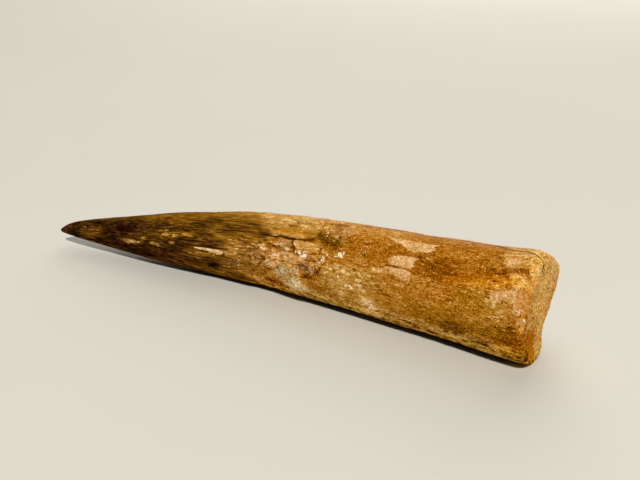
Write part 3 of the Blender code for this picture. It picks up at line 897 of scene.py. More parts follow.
    def normals(self) -> Array:
        """Works out the normals of the skin as it is now.

        Returns:
            The outward normal at every point of the grid.
        """
        opposite = np.roll(self.points, self.columns // 2, axis=1)
        padded = np.concatenate([opposite[:1], self.points, opposite[-1:]])
        across = np.roll(self.points, -1, axis=1) - np.roll(self.points, 1, axis=1)
        normal = np.cross(across, padded[2:] - padded[:-2])
        normal /= np.linalg.norm(normal, axis=-1, keepdims=True) + 1e-12
        outward = self.points - self.points.mean(axis=1, keepdims=True)
        outward[..., 0] += np.where(self.along > self.break_start - 1.0, 6.0, 0.0)
        return normal * np.sign((normal * outward).sum())


def around_curve(skin: Skin, points: dict[float, float]) -> Array:
    """Value at every place of the skin of a curve around the tooth.

    Args:
        skin: The skin's grid.
        points: Places around, in degrees, each with its value. The last is the first again.

    Returns:
        The curve's values.
    """
    return np.interp(skin.around, list(points), list(points.values()))


@dataclass
class Relief:
    """The skin's fine relief, in millimetres, and where each kind of surface lies."""

    skin: Skin
    edge_wander: float = 1.1
    edge_grain: Grain = Grain(5, 2.6, 4, 0.62)
    edge_step: float = 0.12
    mottled: Spot = Spot(63.0, 84.0, 5.5, 6.5)  # here the enamel's edge is broken into islands
    mottling: float = 2.2
    break_wander: float = 3.2
    break_edge_grain: Grain = Grain(6, 3.0, 4, 0.62)
    break_fade: float = 2.2
    raggedness: float = 0.3
    ragged_grain: Grain = Grain(7, 0.9, 3, 0.65)
    streak_height: float = 0.055
    streak_grain: Grain = Grain(12, (4.2, 0.6, 0.6), 3, 0.62)
    flake_height: float = 0.17
    flake_grain: Grain = Grain(11, (6.5, 1.05, 1.05), 4, 0.64)
    flake_steps: float = 4.0
    chip_depth: float = 0.14
    whole_share: float = 0.3  # share of the flakes' height where nothing is chipped
    tip_wear: float = 9.0  # length over which the tip is worn smooth
    broken_height: float = 0.26
    broken_bend: float = 0.6  # how far the chunks' sides bend, in millimetres
    bend_grain: Grain = Grain(18, 1.6)
    ridge_grain: Grain = Grain(15, 2.2, 4, 0.64)
    chunk_grain: Grain = Grain(16, (2.3, 1.5, 1.5))
    chip_grain: Grain = Grain(19, 0.95)
    root_height: float = 0.10
    root_grain: Grain = Grain(13, (1.95, 1.3, 1.3), 4, 0.7)
    pit_depth: float = 0.12
    pit_grain: Grain = Grain(14, 1.5)
    pitted_share: float = 0.6
    patch_rise: float = 0.06
    lump_height: float = 0.15
    lump_grain: Grain = Grain(23, 3.0, 3, 0.55)
    sand_grain_height: float = 0.08
    sand_grain: Grain = Grain(21, 0.8)
    sand_height: float = 0.14
    grit_grain: Grain = Grain(17, 0.55, 2)
    hollow_scale: float = 0.09

    def __post_init__(self) -> None:
        """Works out the fields that the relief and the material share."""
        skin = self.skin
        wander = self.edge_wander * self.edge_grain.over(skin.place)
        self.enamel = around_curve(skin, ENAMEL_EDGE) + wander - skin.along
        self.enamel /= 1.0 + self.mottling * eased(1.6 - self.mottled.reach(skin))
        self.on_enamel = eased(0.5 + self.enamel / 0.8)
        wander = self.break_wander * self.break_edge_grain.over(skin.place)
        self.beyond = skin.along - around_curve(skin, BREAK_EDGE) + wander
        self.on_break = eased(0.5 + self.beyond / self.break_fade)
        self.broken = strongest(skin, BROKEN_ZONES)
        self.chipped = strongest(skin, CHIPPED_ZONES)
        self.ragged = self.raggedness * self.ragged_grain.over(skin.place)

    def _crown(self) -> Array:
        """Relief of the enamel: lengthwise streaks, and layers worn back to ragged edges.

        Returns:
            The height of every place.
        """
        skin = self.skin
        streaks = self.streak_grain.over(skin.place)
        level = (self.flake_grain.over(skin.place) * 0.9 + 0.5) * self.flake_steps
        step = np.floor(level)
        flakes = (step + eased((level - step) * 4.0)) / self.flake_steps - 0.5
        amount = self.whole_share + (1.0 - self.whole_share) * self.chipped
        crown = self.streak_height * streaks + self.flake_height * flakes * amount
        crown -= self.chip_depth * self.chipped * eased(0.5 - 3.2 * flakes)
        return crown * (0.2 + 0.8 * eased(skin.along / self.tip_wear))

    def _root(self) -> Array:
        """Relief of the root: a fine grain, drawn out along it, with pits.

        Returns:
            The height of every place.
        """
        place = self.skin.place
        lumps = self.root_grain.over(place)
        pits, tone = self.pit_grain.cells(place)
        pitted = tone > 1.0 - self.pitted_share
        return self.root_height * lumps - self.pit_depth * eased(1.5 - pits / 0.2) * pitted

    def _broken(self) -> Array:
        """Relief where enamel has broken away: chunks at uneven levels, with ridges between.

        Returns:
            The height of every place.
        """
        place = self.skin.place
        bent = place + self.broken_bend * self.bend_grain.over(place)[..., None]
        ridges = 1.0 - 2.0 * np.abs(self.ridge_grain.over(place))
        gap, tone = self.chunk_grain.cells(bent)
        small, small_tone = self.chip_grain.cells(bent)
        chunks = 0.8 * (tone - 0.5) - 0.35 * gap
        chips = 0.45 * (small_tone - 0.5) - 0.25 * small
        return self.broken_height * (0.45 * (ridges - 0.5) + chunks + chips)

    def _break(self) -> Array:
        """Relief of the sandy break: rounded lumps with grains on them.

        Returns:
            The height of every place.
        """
        place = self.skin.points
        grains, tone = self.sand_grain.cells(place)
        rounded = self.sand_grain_height * (0.45 - grains) * (0.5 + tone)
        return self.lump_height * self.lump_grain.over(place) + rounded

    def height(self) -> Array:
        """Adds the kinds of relief together.

        Returns:
            The height at every point of the grid, in millimetres.
        """
        skin = self.skin
        height = self.on_enamel * self._crown()
        height += (1.0 - self.on_enamel) * (self._root() - self.edge_step)
        height += self.broken * self._broken()
        for plate in PLATES:
            inside = plate.inside(skin) + self.ragged
            height += plate.amount * eased(0.5 + inside / plate.fade)
        for line in CRACKS:
            away = line.away(skin) + 0.4 * np.abs(self.ragged)
            height -= line.depth * eased(1.5 * (1.3 - away / line.half_width))
        grit = self.grit_grain.over(skin.place)
        crust = eased(0.5 + (inside_any(skin, SAND_MARKS) + self.ragged) / 1.2)
        height += self.sand_height * crust * (0.4 + grit)
        patch = eased(0.5 + (inside_any(skin, PALE_MARKS + CREAM_MARKS) + self.ragged) / 0.4)
        height += self.patch_rise * patch * (0.6 + grit)
        return height * (1.0 - self.on_break) + self._break() * self.on_break

    def raise_skin(self) -> Array:
        """Moves the skin out by the relief, and keeps it in the solid's box.

        Returns:
            How hollow each place is: above 0 in hollows, below 0 on ridges.
        """
        skin, height = self.skin, self.height()
        raised = skin.points + skin.normals() * height[..., None]
        skin.points = np.clip(raised, skin.low, skin.high)
        lower = blurred(height, 2.6, 3.4) - blurred(height, 0.5, 0.7)
        return np.clip(lower / self.hollow_scale, -1.5, 1.5)


@dataclass
class Layers:
    """What the skin's material reads at every place of the skin."""

    skin: Skin
    relief: Relief
    hollow: Array
    values: dict[Layer, Array] = field(default_factory=dict)
    crown_limit: float = 0.66  # the enamel's stain is never lighter
    root_clouds: float = 0.05
    cloud_grain: Grain = Grain(31, 6.0, 3)
    reach: float = 2.0  # how far from its edge a patch's field goes on, in millimetres

    def __post_init__(self) -> None:
        """Works out every layer."""
        skin, relief = self.skin, self.relief
        cracks = [line.half_width - line.away(skin) for line in CRACKS]
        self.values = {
            Layer.ENAMEL: np.clip(relief.enamel, -6.0, 6.0),
            Layer.LIGHT: self._light(),
            Layer.BREAK: np.clip(relief.beyond, -4.0, 4.0),
            Layer.CRACK: np.maximum.reduce([np.full(skin.along.shape, -1.0), *cracks]),
            Layer.HOLLOW: self.hollow,
            Layer.GLOSS: around_curve(skin, GLOSS),
            Layer.UNDERSIDE: around_curve(skin, UNDERSIDE) * (1.0 - relief.on_break),
        }
        for layer, marks in STAINS.items():
            self.values[layer] = strongest(skin, marks)
        for layer, marks in PATCHES.items():
            self.values[layer] = np.clip(inside_any(skin, marks), -self.reach, self.reach)

    def _light(self) -> Array:
        """Works out the stain's lightness, with the painted highlight and shade that its curves and
        marks hold.

        Returns:
            How light each place is, on the scale of a screen's brightness.
        """
        skin = self.skin
        brightening = np.interp(skin.along, list(BRIGHTENING), list(BRIGHTENING.values()))
        crown = np.minimum(around_curve(skin, CROWN_LIGHT) * brightening, self.crown_limit)
        clouds = self.root_clouds * self.cloud_grain.over(skin.place)
        root = around_curve(skin, ROOT_LIGHT) + clouds
        light = root + (crown - root) * eased(0.5 + self.relief.enamel / 3.0)
        for mark in LIGHT_MARKS:
            light = light + (mark.amount - light) * mark.cover(skin)
        return light


class Bench:
    """Adds nodes to one node tree and links them."""

    def __init__(self, tree: bpy.types.NodeTree) -> None:
        """Starts with a tree's nodes as they are, and no place that its textures follow."""
        self.tree = tree
        self.place: Socket | None = None

    def feed(self, socket: Socket, value: object) -> None:
        """Links a socket to another, or sets its value."""
        if isinstance(value, Socket):
            self.tree.links.new(value, socket)
        else:
            socket.default_value = value

    def add(self, kind: str, inputs: dict[str | int, object], **settings: object) -> bpy.types.Node:
        """Adds a node.

        Args:
            kind: Blender's name for the node, without ShaderNode.
            inputs: Sockets by name or number, each with its value or the socket that feeds it.
            settings: The node's own settings.

        Returns:
            The node.
        """
        node = self.tree.nodes.new(kind if kind.startswith("Node") else "ShaderNode" + kind)
        for name, value in settings.items():
            setattr(node, name, value)
        for name, value in inputs.items():
            self.feed(node.inputs[name], value)
        return node

    def math(self, operation: str, *values: object) -> Socket:
        """Result of a sum."""
        return self.add("Math", dict(enumerate(values)), operation=operation).outputs[0]

    def times(self, first: object, second: object) -> Socket:
        """One number times another."""
        return self.math("MULTIPLY", first, second)

    def plus(self, first: object, second: object) -> Socket:
        """Two numbers together."""
        return self.math("ADD", first, second)

    def minus(self, first: object, second: object) -> Socket:
        """One number less another."""
        return self.math("SUBTRACT", first, second)

    def vector(self, operation: str, inputs: dict[str | int, object]) -> Socket:
        """Result of a sum on places."""
        return self.add("VectorMath", inputs, operation=operation).outputs[0]

    def mix(self, share: object, first: object, second: object, blend: str = "MIX") -> Socket:
        """A colour mixed from two."""
        inputs = {0: share, 6: first, 7: second}
        return self.add("Mix", inputs, data_type="RGBA", blend_type=blend).outputs[2]

    def blend(self, share: object, first: object, second: object) -> Socket:
        """A number mixed from two."""
        return self.add("Mix", {0: share, 2: first, 3: second}).outputs[0]

    def between(self, value: object, low: object, high: object) -> Socket:
        """0 where a value is below low, 1 above high, and smooth between."""
        inputs = {"Value": value, "From Min": low, "From Max": high}
        return self.add("MapRange", inputs, interpolation_type="SMOOTHSTEP").outputs[0]

    def ramp(self, share: object, marks: Stops) -> Socket:
        """Picks a colour from a row of stops.

        Args:
            share: Where on the row.
            marks: The stops.

        Returns:
            The colour.
        """
        node = self.add("ValToRGB", {0: share})
        elements = node.color_ramp.elements
        while len(elements) < len(marks):
            elements.new(0.5)
        for element, (place, colour) in zip(elements, marks):
            element.position, element.color = place, colour
        return node.outputs[0]

    def read(self, layer: Layer) -> Socket:
        """What a layer of the skin says."""
        node = self.add("Attribute", {}, attribute_name=layer.value)
        return node.outputs["Vector" if layer is Layer.PLACE else "Fac"]

    def group(self, effect: "Effect", **inputs: object) -> bpy.types.Node:
        """Adds a shared effect at this bench's place.

        Args:
            effect: The effect.
            inputs: Its own values here, by name.

        Returns:
            The group's node.
        """
        node = self.add("Group", {"Place": self.place}, node_tree=effect.tree())
        for name, value in inputs.items():
            self.feed(node.inputs[name.capitalize()], value)
        return node


def surface(name: str) -> tuple[bpy.types.Material, Bench, bpy.types.NodeInputs]:
    """Starts a material.

    Args:
        name: Its name.

    Returns:
        The material, where its nodes go, and the sockets of its shader.
    """
    material = bpy.data.materials.new(name)
    material.use_nodes = True
    sockets = material.node_tree.nodes["Principled BSDF"].inputs
    sockets["Specular IOR Level"].default_value = 0.0
    return material, Bench(material.node_tree), sockets


class Effect(Enum):
    """Effects that more than one finish uses, each a shader node group that is built once."""

    RAGGED_EDGE = "ragged_edge"
    GRAIN = "grain"
    SPECKS = "specks"
    CHIPS = "chips"
    SAND = "sand_texture"

    def tree(self) -> bpy.types.NodeTree:
        """The effect's node group, built when it is first asked for."""
        if self.value not in bpy.data.node_groups:
            getattr(self, "_build_" + self.value)()
        return bpy.data.node_groups[self.value]

    def _start(self, inputs: str, outputs: str) -> tuple[Bench, list[Socket], dict[str, Socket]]:
        """Starts a node group.

        Args:
            inputs: Names of its input sockets.
            outputs: Names of its output sockets.

        Returns:
            Where its nodes go, what its inputs give, and the sockets of its outputs by name.
        """
        tree = bpy.data.node_groups.new(self.value, "ShaderNodeTree")
        for way, names in (("INPUT", inputs), ("OUTPUT", outputs)):
            for name in names.split():
                kind = "NodeSocketVector" if name == "Place" else "NodeSocketFloat"
                tree.interface.new_socket(name, in_out=way, socket_type=kind)
        bench = Bench(tree)
        start, end = bench.add("NodeGroupInput", {}), bench.add("NodeGroupOutput", {})
        return bench, [start.outputs[name] for name in inputs.split()], end.inputs

    def _drawn_out(self, bench: Bench, place: Socket, width: Socket, stretch: Socket) -> Socket:
        """A place in units of a feature's width across, and of its length along."""
        across = bench.math("DIVIDE", 1.0, width)
        along = bench.math("DIVIDE", across, stretch)
        size = bench.add("CombineXYZ", {0: along, 1: across, 2: across}).outputs[0]
        return bench.vector("MULTIPLY", {0: place, 1: size})

    def _scaled(self, bench: Bench, place: Socket, size: Socket) -> Socket:
        """A place in units of a feature size."""
        return bench.vector("SCALE", {0: place, "Scale": bench.math("DIVIDE", 1.0, size)})

    def _cells(
        self, bench: Bench, place: Socket, scale: float, detail: float, far: float
    ) -> tuple[Socket, bpy.types.Node, bpy.types.Node]:
        """Cells with crooked sides.

        Args:
            bench: Where the nodes go.
            place: The place, in units of the cells' size.
            scale: How fine the crookedness is.
            detail: How many finer layers it has.
            far: How far it goes.

        Returns:
            The crooked place, the cells, and three numbers from 0 to 1 that belong to a cell.
        """
        twist = bench.add("TexNoise", {"Vector": place, "Scale": scale, "Detail": detail})
        shift = bench.vector("SCALE", {0: twist.outputs[1], "Scale": far})
        moved = bench.vector("ADD", {0: place, 1: shift})
        cells = bench.add("TexVoronoi", {"Vector": moved, "Scale": 1.0})
        return moved, cells, bench.add("SeparateColor", {0: cells.outputs["Color"]})

    def _build_ragged_edge(self) -> None:
        """Turns a field that is above 0 inside a patch into a mask with a ragged edge."""
        bench, given, out = self._start("Field Place Size Amount Softness", "Mask")
        edge, place, size, amount, softness = given
        noise = {"Scale": 1.0, "Detail": 4.0, "Roughness": 0.62}
        noise["Vector"] = self._scaled(bench, place, size)
        lean = bench.minus(bench.add("TexNoise", noise).outputs[0], 0.5)
        strayed = bench.plus(edge, bench.times(lean, bench.times(amount, 2.0)))
        bench.feed(out["Mask"], bench.between(strayed, bench.times(softness, -1.0), softness))

    def _build_grain(self) -> None:
        """Noise drawn out along the tooth."""
        bench, given, out = self._start("Place Width Stretch Detail Low", "Level")
        place, width, stretch, detail, low = given
        noise = {"Scale": 1.0, "Detail": detail, "Roughness": 0.6, "Distortion": 0.15}
        noise["Vector"] = self._drawn_out(bench, place, width, stretch)
        level = bench.add("TexNoise", noise).outputs[0]
        bench.feed(out["Level"], bench.between(level, low, bench.minus(1.0, low)))

    def _build_specks(self) -> None:
        """Scattered specks of uneven size."""
        bench, given, out = self._start("Place Spacing Size Share", "Mask Tone")
        place, spacing, size, share = given
        _, cells, tones = self._cells(bench, self._scaled(bench, place, spacing), 2.6, 1.0, 0.35)
        here = bench.math("LESS_THAN", tones.outputs[0], share)
        radius = bench.times(size, bench.plus(tones.outputs[1], 0.35))
        speck = bench.between(bench.minus(radius, cells.outputs["Distance"]), -0.04, 0.06)
        bench.feed(out["Mask"], bench.times(speck, here))
        bench.feed(out["Tone"], tones.outputs[2])

    def _build_chips(self) -> None:
        """Angular chips, each of its own tone, in some cells of a broken net."""
        bench, given, out = self._start("Place Size Stretch Share", "Mask Tone")
        place, size, stretch, share = given
        place = self._drawn_out(bench, place, size, stretch)
        moved, _, tones = self._cells(bench, place, 1.9, 2.0, 0.6)
        inputs = {"Vector": moved, "Scale": 1.0}
        net = bench.add("TexVoronoi", inputs, feature="DISTANCE_TO_EDGE")
        here = bench.math("LESS_THAN", tones.outputs[0], share)
        inner = bench.between(net.outputs["Distance"], 0.03, 0.11)
        bench.feed(out["Mask"], bench.times(inner, here))
        bench.feed(out["Tone"], tones.outputs[1])

    def _build_sand_texture(self) -> None:
        """Packed grains of sand, each of its own tone, with dark gaps between them."""
        bench, (place, size), out = self._start("Place Size", "Tone Gap")
        _, cells, tones = self._cells(bench, self._scaled(bench, place, size), 1.7, 2.0, 0.5)
        bench.feed(out["Tone"], tones.outputs[0])
        bench.feed(out["Gap"], bench.between(cells.outputs["Distance"], 0.42, 0.75))


@dataclass
class Look:
    """The sockets that one finish gives to the skin's material."""

    colour: Socket
    roughness: Socket
    height: Socket  # in millimetres

    def under(self, above: "Look", bench: Bench, share: Socket) -> "Look":
        """Lays another look over this one.

        Args:
            above: The other look.
            bench: Where the nodes go.
            share: How far the other one covers this one.

        Returns:
            The look of both.
        """
        return Look(
            bench.mix(share, self.colour, above.colour),
            bench.blend(share, self.roughness, above.roughness),
            bench.blend(share, self.height, above.height),
        )


@dataclass(frozen=True)
class Weave:
    """One scale of a finish's texture, and how strongly it tells."""

    width: float  # of its features across the tooth, in millimetres
    stretch: float  # how much longer than wide they are
    strength: float
    detail: float = 3.0
    low: float = 0.22  # noise below this is darkest: the nearer to 0.5, the crisper

    def swing(self, bench: Bench) -> Socket:
        """The texture about 0, at its strength."""
        sizes = {"width": self.width, "stretch": self.stretch}
        node = bench.group(Effect.GRAIN, detail=self.detail, low=self.low, **sizes)
        return bench.times(bench.minus(node.outputs[0], 0.5), self.strength)


@dataclass(frozen=True)
class Chips:
    """One size of angular chips."""

    size: float
    stretch: float
    most: float  # share of the net's cells that they fill where flecks show
    least: float = 0.0  # share elsewhere

    def marks(self, bench: Bench) -> tuple[Socket, Socket]:
        """The chips' mask and tone."""
        share = bench.plus(bench.times(bench.read(Layer.GLINT), self.most), self.least)
        node = bench.group(Effect.CHIPS, size=self.size, stretch=self.stretch, share=share)
        return tuple(node.outputs)


@dataclass(frozen=True)
class Specks:
    """One kind of scattered round specks."""

    spacing: float
    size: float
    share: float

    def mask(self, bench: Bench) -> Socket:
        """Where the specks are."""
        return bench.group(Effect.SPECKS, **vars(self)).outputs["Mask"]


def woven(bench: Bench, weaves: tuple[Weave, ...]) -> Socket:
    """Several scales of texture together.

    Args:
        bench: Where the nodes go.
        weaves: The scales.

    Returns:
        Their sum, about 0.
    """
    total = weaves[0].swing(bench)
    for weave in weaves[1:]:
        total = bench.plus(total, weave.swing(bench))
    return total


@dataclass(frozen=True)
class EnamelFinish:
    """Stained enamel: lengthwise streaks from umber to gold, bright flecks, partly painted glints,
    where chipped.
    """

    stains: Stops = stops(
        (0, 9, 4, 1), (0.1, 40, 22, 7), (0.19, 70, 43, 11), (0.28, 106, 68, 12),
        (0.38, 140, 94, 20), (0.5, 172, 122, 44), (0.62, 202, 154, 80), (0.8, 236, 194, 132),
    )
    maroons: Stops = stops(
        (0, 14, 2, 0), (0.12, 52, 18, 5), (0.3, 108, 60, 38), (0.6, 180, 126, 84),
    )
    weaves: tuple[Weave, ...] = (
        Weave(0.48, 13.0, 0.80, 3.0, 0.35),
        Weave(0.24, 9.0, 0.66, 2.0, 0.36),
        Weave(1.6, 5.0, 0.34, 2.0),
    )
    blotches: tuple[Weave, ...] = (
        Weave(1.5, 1.7, 0.62, 3.0, 0.32),
        Weave(0.55, 2.6, 0.64, 3.0, 0.34),
        Weave(0.26, 2.0, 0.80, 2.0, 0.36),
    )
    blotched: Pair = (0.42, 0.56)  # lightness from which blotches replace streaks
    bumps: tuple[Weave, ...] = (Weave(0.42, 8.0, 0.07), Weave(0.2, 5.0, 0.06))
    strength: float = 0.165  # how strongly the texture tells
    strength_by_light: float = 0.14
    full_light: float = 0.12  # below this lightness the texture fades
    # painted shade in hollows, and painted light on ridges
    underside_swing: float = 0.8  # how much more the texture tells on the underside
    hollow_dark: float = 0.05
    flecks: Chips = Chips(0.42, 2.6, 0.34)
    fleck_tone: float = 0.2
    fleck_light: float = 0.34
    fleck_height: float = 0.05
    roughness: float = 0.5
    roughness_swing: float = 0.12

    def wire(self, bench: Bench, light: Socket) -> Look:
        """Wires the finish.

        Args:
            bench: Where its nodes go.
            light: How light the stain is.

        Returns:
            Its colour, roughness and height.
        """
        streaks, blotches = woven(bench, self.weaves), woven(bench, self.blotches)
        swing = bench.blend(bench.between(light, *self.blotched), streaks, blotches)
        strength = bench.plus(bench.times(light, self.strength_by_light), self.strength)
        strength = bench.times(strength, bench.between(light, 0.0, self.full_light))
        underside = bench.read(Layer.UNDERSIDE)
        more = bench.math("MULTIPLY_ADD", underside, self.underside_swing, 1.0)
        strength = bench.times(strength, more)
        level = bench.plus(light, bench.times(swing, strength))
        level = bench.minus(level, bench.times(bench.read(Layer.HOLLOW), self.hollow_dark))
        mask, tone = self.flecks.marks(bench)
        fleck = bench.times(mask, bench.plus(tone, self.fleck_tone))
        level = bench.plus(level, bench.times(fleck, self.fleck_light))
        colour = bench.ramp(level, self.stains)
        colour = bench.mix(bench.read(Layer.MAROON), colour, bench.ramp(level, self.maroons))
        roughness = bench.plus(self.roughness, bench.times(swing, self.roughness_swing))
        height = woven(bench, self.bumps)
        return Look(colour, roughness, bench.plus(height, bench.times(fleck, self.fleck_height)))


@dataclass(frozen=True)
class RootFinish:
    """Bone turned to stone: orange stain with a fine grain, olive and pink places, pale specks,
    partly painted glints.
    """

    stains: Stops = stops(
        (0, 6, 3, 1), (0.1, 40, 22, 4), (0.25, 100, 55, 2), (0.36, 142, 76, 1), (0.44, 166, 100, 8),
        (0.52, 187, 124, 36), (0.62, 203, 150, 78), (0.75, 230, 181, 108), (0.88, 248, 212, 156),
        (1, 253, 230, 198),
    )
    greens: Stops = stops(
        (0, 6, 4, 1), (0.12, 42, 28, 4), (0.25, 88, 60, 2), (0.4, 146, 101, 7), (0.5, 176, 128, 28),
        (0.62, 200, 158, 78), (0.85, 238, 208, 148),
    )
    roses: Stops = stops(
        (0, 8, 5, 3), (0.2, 74, 46, 22), (0.38, 136, 94, 42), (0.5, 174, 120, 66),
        (0.62, 206, 152, 98), (0.75, 230, 184, 128), (0.92, 246, 220, 186),
    )
    weaves: tuple[Weave, ...] = (
        Weave(1.5, 1.8, 0.12),
        Weave(0.60, 1.7, 0.16, 4.0),
        Weave(0.27, 1.4, 0.34),
        Weave(0.30, 7.0, 0.20),
    )
    bumps: tuple[Weave, ...] = (Weave(0.9, 1.4, 0.05), Weave(0.30, 1.3, 0.09, 4.0))
    underside_swing: float = 1.4  # how much more the texture tells on the underside
    underside_streaks: Weave = Weave(1.9, 0.9, 0.46, 3.0, 0.34)
    full_light: float = 0.35  # below this lightness texture and specks fade
    # painted shade in hollows, and painted light on ridges
    hollow_dark: float = 0.06
    chips: Chips = Chips(0.85, 1.5, 0.34)
    chip_light: float = 0.22
    shards: Chips = Chips(0.46, 1.5, 0.22, 0.03)
    shard_light: float = 0.15
    flaws: Chips = Chips(0.62, 1.9, 0.16, 0.01)
    flaw_dark: float = 0.12
    chip_height: float = 0.10
    specks: Specks = Specks(0.44, 0.27, 0.17)
    speck_light: float = 0.24
    speck_height: float = 0.05
    pits: Specks = Specks(0.52, 0.24, 0.16)
    pit_dark: float = 0.24
    pit_depth: float = 0.06
    roughness: float = 0.6
    roughness_swing: float = 0.4

    def wire(self, bench: Bench, light: Socket) -> Look:
        """Wires the finish.

        Args:
            bench: Where its nodes go.
            light: How light the stain is.

        Returns:
            Its colour, roughness and height.
        """
        underside, reach = bench.read(Layer.UNDERSIDE), bench.between(light, 0.0, self.full_light)
        swing = woven(bench, self.weaves)
        more = bench.math("MULTIPLY_ADD", underside, self.underside_swing, 1.0)
        streaks = bench.times(underside, self.underside_streaks.swing(bench))
        swing = bench.plus(bench.times(swing, more), streaks)
        level = bench.plus(light, bench.times(swing, reach))
        level = bench.minus(level, bench.times(bench.read(Layer.HOLLOW), self.hollow_dark))
        chips = bench.times(*self.chips.marks(bench))
        shards = bench.times(self.shards.marks(bench)[0], reach)
        flaws = self.flaws.marks(bench)[0]
        raised = bench.plus(
            bench.times(chips, self.chip_light), bench.times(shards, self.shard_light)
        )
        level = bench.plus(level, bench.minus(raised, bench.times(flaws, self.flaw_dark)))
        specks = bench.times(self.specks.mask(bench), reach)
        pits = self.pits.mask(bench)
        level = bench.plus(level, bench.times(specks, self.speck_light))
        level = bench.minus(level, bench.times(pits, self.pit_dark))
        colour = bench.ramp(level, self.stains)
        colour = bench.mix(bench.read(Layer.OLIVE), colour, bench.ramp(level, self.greens))
        colour = bench.mix(bench.read(Layer.PINK), colour, bench.ramp(level, self.roses))
        roughness = bench.plus(self.roughness, bench.times(swing, self.roughness_swing))
        height = woven(bench, self.bumps)
        height = bench.minus(height, bench.times(pits, self.pit_depth))
        height = bench.plus(height, bench.times(specks, self.speck_height))
        height = bench.plus(height, bench.times(bench.minus(raised, flaws), self.chip_height))
        return Look(colour, roughness, height)


@dataclass(frozen=True)
class SandFinish:
    """Packed grains, each of its own tone, with darker gaps between them."""

    tones: Stops = stops(
        (0, 138, 88, 26), (0.1, 192, 132, 46), (0.28, 224, 168, 80), (0.7, 238, 186, 98),
        (1, 252, 218, 156),
    )
    size: float = 0.34
    gap: Colour = linear(182, 126, 52)
    gap_shade: float = 0.4
    gap_depth: float = 0.07
    holes: Specks = Specks(0.62, 0.27, 0.22)
    hole: Colour = linear(112, 66, 14)
    hole_shade: float = 0.85
    hole_depth: float = 0.08
    beads: Specks = Specks(0.80, 0.27, 0.20)
    bead_light: float = 0.6
    stain: Colour = linear(218, 172, 34)
    cloud: Weave = Weave(1.7, 1.0, 0.45)
    roughness: float = 0.62
    roughness_swing: float = 0.15

    def wire(self, bench: Bench, lean: object = 0.0) -> Look:
        """Wires the finish.

        Args:
            bench: Where its nodes go.
            lean: By how much the grains are lighter than usual.

        Returns:
            Its colour, roughness and height.
        """
        grains, gap = bench.group(Effect.SAND, size=self.size).outputs
        tone = bench.plus(bench.plus(grains, self.cloud.swing(bench)), lean)
        holes, beads = self.holes.mask(bench), self.beads.mask(bench)
        tone = bench.plus(tone, bench.times(beads, self.bead_light))
        shade = bench.times(gap, self.gap_shade)
        colour = bench.mix(shade, bench.ramp(tone, self.tones), self.gap)
        colour = bench.mix(bench.times(holes, self.hole_shade), colour, self.hole)
        colour = bench.mix(bench.read(Layer.STAIN), colour, self.stain, "MULTIPLY")
        roughness = bench.plus(self.roughness, bench.times(tone, self.roughness_swing))
        height = bench.times(bench.minus(1.0, gap), self.gap_depth)
        height = bench.minus(height, bench.times(holes, self.hole_depth))
        return Look(colour, roughness, height)


